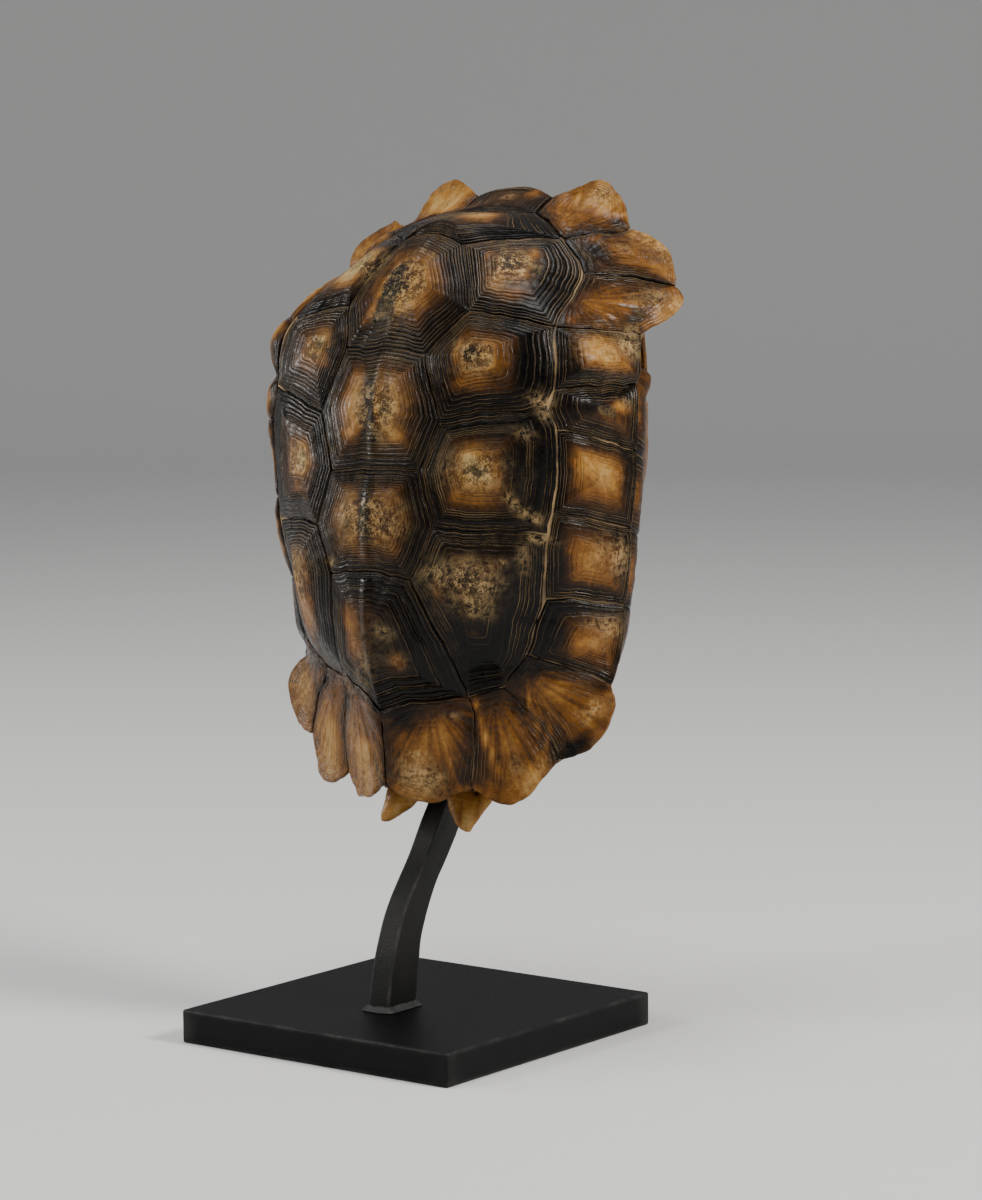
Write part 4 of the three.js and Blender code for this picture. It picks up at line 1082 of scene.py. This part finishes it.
def near_lines(lines):
    """1 within 1.5 mm of those seams of the net, fading to 0 at 3.5 mm."""
    spots = np.stack([rr, side_c], -1) * NET_PITCH
    nearest = np.full(rr.shape, np.inf)
    for line in lines:
        ends = np.array(line) * NET_PITCH
        for p, q in zip(ends, ends[1:]):
            share = np.clip((spots - p) @ (q - p) / np.dot(q - p, q - p), 0, 1)
            off = np.linalg.norm(spots - p - share[..., None] * (q - p), axis=-1)
            nearest = np.minimum(nearest, off)
    return smooth(3.5, 1.5, nearest)


# The tissue is pale beside the pleurals' outer edge and between marginals, dark elsewhere, and
# black in the slit by marginal 8.
beside_pleurals = smooth(0.5, 0.15, np.abs(side_c - 3.55)) * smooth(2.2, 3.2, rr)
beside_pleurals *= smooth(11.4, 10.6, rr)
between_marginals = near_lines([M12, M23, M34, M45, M56, M67, M89, M9A, MAB])
pale = 0.05 + 0.3 * between_marginals * (1 - beside_pleurals)
pale += beside_pleurals * (0.40 + 0.32 * noise3(shell_face, 7.0, 77))
pale *= 1 - smooth(7.5, 7.6, rr) * smooth(8.2, 8.1, rr) * smooth(3.6, 3.9, side_c)
tissue_depth = 1.85 - np.maximum(0.5 * beside_pleurals, 0.4 * between_marginals)
sheet("carapace_fill", below_face(tissue_depth), below_face(2.4), SEAM,
      {"tone": np.tile(pale.ravel(), 2)})

THIN_BONE = 3.3  # how deep the bone's inner face lies at the free rim
from_rim = np.clip(np.minimum.reduce([rr, ROWS - rr, COLUMNS - side_c]) / 1.2, 0, 1)
ribs = 0.8 * np.cos(2 * np.pi * shell_face[..., 1] / RIB) ** 8 * smooth(0.2, 1.0, from_rim)
bone_depth = THIN_BONE + (WALL - THIN_BONE) * from_rim + ribs
bone_depth += 0.4 * noise3(shell_face, 8.0, 61) * from_rim
sheet("carapace_bone", below_face(2.5), below_face(bone_depth))


def neural_ridge():
    """The backbone's arch inside the carapace, swollen at each vertebra."""
    rows, sides = 120, 24
    row = np.linspace(2, 11, rows)
    centre = carapace_point(row, 0 * row) - carapace_normal(row, 0 * row) * WALL
    swell = np.cos(2 * np.pi * centre[:, 1] / RIB)
    tall = 6.8 * np.sqrt(np.sin(np.pi * (row - 1.75) / 9.5)) * (1 + 0.10 * swell)
    wide = 5.6 * (1 - 0.16 * swell)
    turns = np.linspace(0, 2 * np.pi, sides + 1)[:-1]
    c, s = np.cos(turns), np.sin(turns)
    points = flat(np.stack([
        wide[:, None] * c, np.repeat(centre[:, 1:2], sides, 1),
        centre[:, 2:3] + np.where(s > 0, 1.5, tall[:, None]) * s,
    ], -1))
    loop = np.arange(sides)
    faces = [grid_faces(rows, sides, closed=True), loop[None, ::-1],
             ((rows - 1) * sides + loop)[None]]
    return shell_piece("neural_ridge", points, faces, BONE, {"seam": suture(points)})


def plastron_bone(name, a, share, depth):
    """Bone under the plastron's scutes, from 2.3 mm down to depth."""
    face, outward = plastron_point(a, share), plastron_normal(a, share)
    return sheet(name, face - outward * 2.3, face - outward * depth(face)[..., None])


neural_ridge()
aa, ss = np.meshgrid(np.linspace(4.2, 242.5, 150), np.linspace(-0.97, 0.97, 71), indexing="ij")
plastron_bone("plastron_bone", aa, ss, lambda face: (
    6.6 + 0.5 * noise3(face, 9.0, 64) + 0.5 * smooth(0.9, 0.6, np.abs(ss))))
# Beside the rear notch it ends in two tips.
tip_a, tip_t = np.meshgrid(np.linspace(242.3, 260.8, 16), np.linspace(0, 1, 14), indexing="ij")
tip_inner = NOTCH_SLOPE * (tip_a - NOTCH_A).clip(0) + 1.2
tip_share = (tip_inner + (plate_half(tip_a) - 1.2 - tip_inner) * tip_t) / plate_half(tip_a)
for side, word in ((1, "right"), (-1, "left")):
    plastron_bone(f"plastron_tip_{word}", tip_a, side * tip_share,
                  lambda face: np.full(face.shape[:2], 6.2))

BRIDGE_A, BRIDGE_LONG, BRIDGE_HIGH = 66, 134, 46  # first a, length and height in mm
MARGINAL_FOOT = 0.56  # how far up the bridge the marginals' turned-in lower ends reach
BRIDGE_SEAMS = (0.0, 0.294, 0.536, 0.755, 1.0)


def bridge_grid(steps, ups):
    """Outer face of the right bridge, rim to plate, as the CAD has it."""
    share = np.linspace(0, 1, steps)
    a = BRIDGE_A + BRIDGE_LONG * share
    row = 2.25 + 6.4 * share
    rim = carapace_point(row, np.full(steps, 5.0))
    above = carapace_point(row, np.full(steps, 4.7))
    base = np.maximum(0, (90.7 - a) * 0.3116) + 2.4
    half = plate_half(a)
    swell = 3.4 * np.sin(np.pi * share**1.7) ** 0.6
    low = [np.stack([rim[:, 0] - 0.72 * drop + swell, rim[:, 1], rim[:, 2] - drop], -1)
           for drop in (22 - base * 0.3, np.full(steps, 9.0))]
    guides = np.stack([
        np.stack([half - 8, a, base + 1.2], -1), np.stack([half + 3, a, base + 4], -1), *low,
        above - [2.2, 0, 1],
    ])
    full = np.concatenate([
        2 * guides[:1] - guides[1:2], guides, 2 * guides[-1:] - guides[-2:-1]])
    t = np.linspace(0, 4, ups)
    k = np.clip(t.astype(int), 0, 3)
    w = spline_weights(t - k)
    grid = sum(w[m][:, None, None] * full[k + m] for m in range(4))
    lean = (2 * share - 1) ** 3 * 7
    grid[..., 1] -= lean * np.sin(np.pi * np.linspace(0, 1, ups))[:, None]
    return grid


def bridge(side, word):
    steps, ups = 151, 45
    grid = bridge_grid(steps, ups)
    n = unit(np.cross(np.gradient(grid, axis=1), np.gradient(grid, axis=0)))
    n *= np.sign(n[ups // 2, steps // 2, 0])
    share, height = np.meshgrid(np.linspace(0, 1, steps), np.linspace(0, 1, ups))
    # Seams: one along the bridge under the marginals, and the ends of the marginals above it.
    upper = height > MARGINAL_FOOT
    along = np.abs(height - MARGINAL_FOOT - 0.03 * np.sin(9 * share)) * BRIDGE_HIGH
    cross = np.min([np.abs(share - k) for k in BRIDGE_SEAMS], axis=0)
    cross = np.where(upper, cross, np.abs(share - 0.225)) * BRIDGE_LONG
    seam = np.minimum(along, cross)
    phase = np.where(upper, np.minimum(seam, 30) / 1.7, np.minimum(seam, 40) / 2.1)
    relief = -0.9 * np.exp(-((seam / 0.8) ** 2)) - 0.22 * np.exp(-((off_whole(phase) / 0.16) ** 2))
    relief += 0.5 * noise3(grid, 8.0, 81) + 0.2 * noise3(grid, 2.5, 82)
    knob_a, knob_up = (share - 0.975) * BRIDGE_LONG / 6.5, (height - 0.72) * BRIDGE_HIGH / 6.0
    knob = np.exp(-(knob_a**2) - knob_up**2)
    outer = grid + n * (relief + 4.5 * knob - 1.0)[..., None]
    inner = grid - n * 4.6
    inner[-6:] = grid[-6:] - n[-6:] * 2.0
    tone = 0.20 + 0.36 * smooth(2, 15, seam) + 0.08 * noise3(grid, 7.0, 83) + 0.3 * knob
    tone = np.clip(tone - 0.25 * np.exp(-((seam / 0.9) ** 2)), 0, 1)
    values = keratin_values(
        tone, grid * [0.2, 1.0, 0.2] / 1000, phase=phase, lines=0.9, pitch=1.9)
    table = {key: np.concatenate([flat(v), flat(v)]) for key, v in values.items()}
    return sheet(f"bridge_{word}", outer * [side, 1, 1], inner * [side, 1, 1], KERATIN, table)


HORN_PLACES = np.array([-11.2, -10.3, -8, -3, 4, 10, 16])  # a, from the tip
HORN_D = [31.9, 31.8, 31.6, 31, 30, 29, 28.2]
HORN_DEEP = [0.4, 1.7, 2.8, 3.9, 4.8, 5.0, 4.6]
# The outer and inner edge of each, as x from the middle.
HORN_EDGES = {
    "right": ([23.8, 24.6, 25.2, 28, 31.5, 31.5, 31], [22.6, 19.5, 16, 11.5, 7, 6, 6]),
    "left": ([25.2, 26.2, 26.8, 26.5, 26.5, 27.5, 29], [24.2, 21.5, 18, 12, 7, 5.5, 5]),
}


def horn(side, word):
    """A gular horn: a flat tooth whose tip hooks outwards, with growth lines round it."""
    sides = 40
    tip_a = HORN_PLACES[0]
    a = np.concatenate([
        np.linspace(16, -8, 40), tip_a + 3.2 * np.cos(np.linspace(0.15, 1.5, 14))])
    outer, inner = np.array(HORN_EDGES[word])
    middle, wide, d, deep = [np.interp(a, HORN_PLACES, v)[:, None] for v in (
        (outer + inner) / 2, (outer - inner) / 2, HORN_D, HORN_DEEP)]
    turns = np.linspace(0, 2 * np.pi, sides + 1)[:-1]
    c, q = np.cos(turns), np.sin(turns)
    points = np.stack([
        side * middle + wide * np.sign(c) * np.abs(c) ** 0.8, np.repeat(a[:, None], sides, 1),
        d + deep * np.sign(q) * np.abs(q) ** 0.9,
    ], -1)
    outward = unit(points - np.stack([side * middle, a[:, None], d], -1))
    phase = (16 - points[..., 1]) / 2.4 + 0.4 * noise3(points, 9.0, 91)
    relief = 0.35 * noise3(points, 5.0, 92) - 0.16 * np.exp(-((off_whole(phase) / 0.2) ** 2))
    points = points + outward * (relief * smooth(tip_a, -8, a)[:, None])[..., None]
    tone = 0.72 + 0.16 * noise3(points * [1, 0.15, 1], 2.6, 93)
    tone = tone - 0.25 * smooth(0, 14, points[..., 1])
    spoke = points * [1, 0.12, 1] / 1000
    values = keratin_values(tone, spoke, phase=phase, lines=0.2, pitch=2.4)
    tip = points[-1].mean(0)
    table = joined([{"local": points, **values}], [(tip, -1)])
    table["tone"][-1] = 0.85
    table["spoke"][-1] = tip * [1, 0.12, 1] / 1000
    loop, n = np.arange(sides), len(a) * sides
    faces = [grid_faces(len(a), sides, closed=True), loop[None, ::-1], fan(n - sides + loop, n)]
    if side > 0:
        faces = [f[:, ::-1] for f in faces]
    return shell_piece(f"gular_horn_{word}", table.pop("local"), faces, KERATIN, table)


for side, word in ((1, "right"), (-1, "left")):
    bridge(side, word)
    horn(side, word)

# ---- Stand ----
# The post's front and back as (y, z), its straight part's slope, and the finish of its corners.
POST_FOOT_Z = 15.3
POST_FRONT = [(-28.5, 15.3), (-27.8, 20), (-26, 29), (-24, 38), (-21, 46.5), (-17.4, 55),
              (-12.7, 63), (-6.7, 71), (0, 79.5), (10, 95)]
POST_BACK = [(-8, 15.3), (-7.1, 20), (-4.8, 35), (-3.4, 44), (-0.2, 52.5), (3.9, 61),
             (8.9, 69.3), (15.6, 77.6)]
POST_START, POST_REACH, POST_CORNER = np.array([10.0, 95.0]), 94.0, 4.0
POST_DEPTHS, POST_WIDTHS = (15.0, 12.0), (11.0, 10.0)
STEEL_RADIUS = 0.75
lean = math.atan(0.72)
POST_UP = np.array([math.sin(lean), math.cos(lean)])
POST_IN = np.array([-math.cos(lean), math.sin(lean)])


def post_depth(far):
    """From the front to the back of the post's straight part, that far along it."""
    return POST_DEPTHS[0] + (POST_DEPTHS[1] - POST_DEPTHS[0]) * far / POST_REACH


def lengths(points):
    return np.concatenate([[0], np.cumsum(np.linalg.norm(np.diff(points, axis=0), axis=1))])


def curve_through(points, count):
    """Points evenly spread along a smooth curve through the given ones."""
    points = np.array(points, float)
    steps = lengths(points)
    at = np.linspace(0, steps[-1], count)
    return np.stack([hermite(steps, points[:, k], at) for k in range(2)], -1)


def rounded_section(width, depth, radius, arc=5):
    """A rounded rectangle as (x, distance from the front face), with its edge mark."""
    middles = [np.array([sx * (width / 2 - radius), radius if sy == 0 else depth - radius])
               for sx, sy in ((1, 0), (1, 1), (-1, 1), (-1, 0))]
    points, marks = [], []
    for k, middle in enumerate(middles):
        turns = math.radians(90 * k - 90) + np.linspace(0, math.pi / 2, arc)
        points += [middle + radius * np.array([math.cos(t), math.sin(t)]) for t in turns]
        turn = math.radians(90 * k)
        leave = points[-1]
        arrive = middles[(k + 1) % 4] + radius * np.array([math.cos(turn), math.sin(turn)])
        points += [leave + (arrive - leave) * f for f in (0.06, 0.5, 0.94)]
        marks += [0.7, 1, 1, 1, 0.7, 0, 0, 0]
    return np.array(points), np.array(marks, float)


def tube(name, rings, material, node, edge):
    """Closed rings joined in order, with flat ends."""
    rings = np.array(rings)
    rows, columns = rings.shape[:2]
    k = np.arange(columns)
    faces = [grid_faces(rows, columns, closed=True), k[None, ::-1],
             ((rows - 1) * columns + k)[None]]
    m, points = rows // 2, flat(rings)
    faces = facing(faces, points, m * columns, rings[m, 0] - rings[m].mean(0))
    return build(name, points / 1000, faces, material, node, {"edge": edge})


def post():
    bend = 56
    back_start = POST_START + POST_UP * 2 - POST_IN * POST_DEPTHS[0]
    tip = 1 - np.sin(np.linspace(0.15, math.pi / 2 - 0.06, 7))
    far = np.concatenate([
        np.linspace(3, POST_REACH - POST_CORNER, 22), POST_REACH - POST_CORNER * tip])
    past = (far - POST_REACH + POST_CORNER).clip(0)
    round_in = POST_CORNER - np.sqrt(np.clip(POST_CORNER**2 - past**2, 0, None))
    straight = POST_START + POST_UP * far[:, None]
    front = np.concatenate([
        curve_through(POST_FRONT, bend), straight - POST_IN * round_in[:, None]])
    back = np.concatenate([
        curve_through([*POST_BACK, tuple(back_start)], bend),
        straight - POST_IN * (post_depth(far) - round_in)[:, None]])
    rings = []
    top = front[:, 1].max()
    for f, b in zip(front, back):
        share = ((f[1] + b[1]) / 2 - POST_FOOT_Z) / (top - POST_FOOT_Z)
        width = POST_WIDTHS[0] + (POST_WIDTHS[1] - POST_WIDTHS[0]) * share
        length = np.linalg.norm(b - f)
        section, marks = rounded_section(width, length, STEEL_RADIUS)
        yz = f + (b - f) / length * section[:, 1:]
        rings.append(np.concatenate([section[:, :1], yz], 1))
    return tube("post_bar", rings, POST_STEEL, "post", np.tile(marks, len(rings)))


def base_plate():
    # Loops from the underside to the top, as (half width, z, bright edge mark); on the rounded top
    # edge that bright mark is partly rubbed metal, partly a painted highlight.
    loops = [(66, 0, 0), (73.4, 0, 0), (74.5, 0.1, 0.3), (74.9, 0.5, 1), (75, 1.1, 0.3),
             (75, 2.2, 0), (75, 12.8, 0), (75, 13.9, 0.5), (74.9, 14.5, 1), (74.5, 14.9, 1),
             (73.9, 15, 0.5), (73, 15, 0), (66, 15, 0)]
    rings, marks = [], []
    for half, z, mark in loops:
        section, corner = rounded_section(2 * half, 2 * half, 1.2)
        rings.append(np.append(section - [0, half], np.full((len(section), 1), z), axis=1))
        marks.append(np.maximum(mark, 0.6 * (corner > 0) * (0.5 < z < 14.6)))
    return tube("base_slab", rings, PLATE_STEEL, "base_plate", np.concatenate(marks))


def foot_weld():
    """A rippled bead of weld round the foot of the post."""
    count, long, middle_y = 220, 20.5, -18.25
    # The bead's outline as (distance from the post, height).
    profile = [(3.1, 0.0), (2.9, 0.3), (2.35, 0.8), (1.7, 1.35), (1.1, 1.9), (0.7, 2.3),
               (0.25, 2.55), (0.1, 1.5), (0.1, 0.0)]
    section = rounded_section(POST_WIDTHS[0], long, STEEL_RADIUS)[0] - [0, long / 2]
    closed = np.concatenate([section, section[:1]])
    steps = lengths(closed)
    at = np.linspace(0, steps[-1], count + 1)[:-1]
    path = np.stack([np.interp(at, steps, closed[:, k]) for k in range(2)], -1)
    ahead = np.roll(path, -2, 0) - np.roll(path, 2, 0)
    out = unit(np.stack([ahead[:, 1], -ahead[:, 0]], -1))
    out *= np.sign(np.sum(out * path, axis=1, keepdims=True))
    ripple = 0.90 + 0.10 * np.abs(np.sin(at / 1.15)) ** 0.6
    rings = []
    for off, z in profile:
        spot = np.append(path, np.full((count, 1), z), axis=1)
        lump = ripple * (1 + 0.16 * noise3(spot, 4.0, 120) + 0.08 * noise3(spot, 1.2, 121))
        lump = np.minimum(lump, 1.04)
        ground = path + out * (off * (lump if off > 0.3 else np.ones(count)))[:, None]
        rise = POST_FOOT_Z + z * np.where(z > 0.5, lump, 1)
        rings.append(np.stack([ground[:, 0], ground[:, 1] + middle_y, rise], -1))
    points = np.concatenate(rings)
    k, last = np.arange(count), (len(rings) - 1) * count
    faces = [grid_faces(len(rings), count, closed=True),
             np.stack([last + k, last + (k + 1) % count, (k + 1) % count, k], -1)]
    faces = facing(faces, points, 2 * count, [out[0, 0], out[0, 1], 0.5])
    return build("weld_bead", points / 1000, faces, WELD_STEEL, "foot_weld",
                 {"edge": np.full(len(points), 0.7)})


SCREW_RADIUS, SLOT_WIDE, SLOT_DEEP = 4.2, 1.1, 1.1


def screw(node, distance):
    """A slotted screw: its head is a square grid pressed into a disc, so the slot is crisp."""
    cells, slot = 44, SLOT_WIDE / 2 / SCREW_RADIUS
    u = np.linspace(-1, 1, cells + 1)
    u = u[np.abs(np.abs(u) - slot) > 0.03]
    u = np.sort(np.append(u, [-slot - 0.012, -slot + 0.004, slot - 0.004, slot + 0.012]))
    n = len(u)
    uu, vv = np.meshgrid(u, u, indexing="ij")
    x, y = uu * np.sqrt(1 - vv**2 / 2), vv * np.sqrt(1 - uu**2 / 2)
    dome = ([0, 1.2, 2.4, 3.1, 3.6, 4.0, SCREW_RADIUS], [2.6, 2.56, 2.4, 2.1, 1.7, 1.2, 0.8])
    z = np.interp(np.hypot(x, y) * SCREW_RADIUS, *dome) - SLOT_DEEP * (np.abs(x) < slot)
    top = flat(np.stack([x * SCREW_RADIUS, y * SCREW_RADIUS, z], -1))
    before = outline(n, n)
    turn = np.arctan2(top[before, 1], top[before, 0])
    # The underside and shank as (radius, height).
    steps = [(SCREW_RADIUS, 0.0), (4.0, 0.0), (2.0, 0.0), (2.0, -23), (1.0, -24.2), (0.05, -25)]
    layers = [np.stack([r * np.cos(turn), r * np.sin(turn), np.full(len(turn), h)], -1)
              for r, h in steps]
    points = np.concatenate([top, *layers])
    faces = [grid_faces(n, n)]
    for k in range(len(steps)):
        now = n * n + k * len(turn) + np.arange(len(turn))
        faces.append(np.stack([np.roll(before, -1), before, now, np.roll(now, -1)], -1))
        before = now
    faces.append(before[None])
    faces = facing(faces, points, len(faces[0]) // 2, [0, 0, 1])
    seat = POST_START + POST_UP * distance - POST_IN * (post_depth(distance) + 0.3)
    yz = seat + POST_UP * points[:, 1:2] - POST_IN * points[:, 2:]
    return build(f"{node}_body", np.append(points[:, :1], yz, axis=1) / 1000, faces,
                 SCREW_STEEL, node, {"edge": np.where(points[:, 2] > 0.5, 0.35, 0)})


post()
base_plate()
foot_weld()
screw("lower_screw", 31)
screw("upper_screw", 73)

# ---- Camera, light and floor ----
camera = bpy.data.objects.new("camera", bpy.data.cameras.new("camera"))
camera.data.lens = 120
camera.data.sensor_width = 36
eye, target = Vector((1.0978, -1.3869, 0.4074)), Vector((0.0276, 0.0210, 0.1965))
look = (target - eye).to_track_quat("-Z", "Y").to_matrix().to_4x4()
camera.matrix_world = Matrix.Translation(eye) @ look @ Matrix.Rotation(math.radians(-0.48), 4, "Z")
bpy.context.scene.collection.objects.link(camera)
bpy.context.scene.camera = camera

floor_shader = Shader("studio_floor")
floor_shader.finish(Base_Color=(0.66, 0.66, 0.65), Roughness=0.8)
# A round sweep: flat in the middle, then curving up all round, so no horizon shows.
FLAT, BEND, SIDES = 3.0, 1.6, 96
turns = np.linspace(0, 2 * np.pi, SIDES + 1)[:-1]
profile = [(FLAT / 5 * k, 0) for k in range(1, 6)]
profile += [(FLAT + BEND * math.sin(t), BEND - BEND * math.cos(t))
            for t in np.linspace(0, np.pi / 2, 17)[1:]]
sweep = flat(np.array([
    [(r * math.cos(t), r * math.sin(t), z) for t in turns] for r, z in profile]))
sweep_faces = grid_faces(len(profile), SIDES, closed=True)[:, ::-1].tolist()
sweep_faces.append(list(range(SIDES)))
floor_mesh = bpy.data.meshes.new("floor")
floor_mesh.from_pydata(sweep.tolist(), [], sweep_faces)
floor_mesh.polygons.foreach_set("use_smooth", [True] * len(floor_mesh.polygons))
floor_mesh.materials.append(floor_shader.material)
floor = bpy.data.objects.new("floor", floor_mesh)
bpy.context.scene.collection.objects.link(floor)


def area_light(name, place, aim, size, power, colour=(1, 1, 1)):
    lamp = bpy.data.lights.new(name, "AREA")
    lamp.shape = "DISK"
    lamp.size = size
    lamp.energy = power
    lamp.color = colour
    holder = bpy.data.objects.new(name, lamp)
    holder.location = place
    holder.rotation_euler = (Vector(aim) - Vector(place)).to_track_quat("-Z", "Y").to_euler()
    bpy.context.scene.collection.objects.link(holder)


area_light("key_right", (1.7, 0.25, 1.35), (0, 0, 0.24), 0.55, 44, (1.0, 0.97, 0.93))
area_light("key_left", (-1.1, -1.5, 1.3), (0, 0, 0.24), 0.5, 15, (1.0, 0.98, 0.95))
area_light("low_left", (-1.7, -0.5, 0.5), (0, 0, 0.2), 0.4, 9, (1.0, 0.97, 0.93))
area_light("top", (0.0, -0.1, 2.1), (0, 0, 0.2), 1.1, 26)
world = bpy.data.worlds.new("studio")
world.use_nodes = True
world.node_tree.nodes["Background"].inputs[0].default_value = (0.8, 0.82, 0.85, 1)
world.node_tree.nodes["Background"].inputs[1].default_value = 0.3
bpy.context.scene.world = world
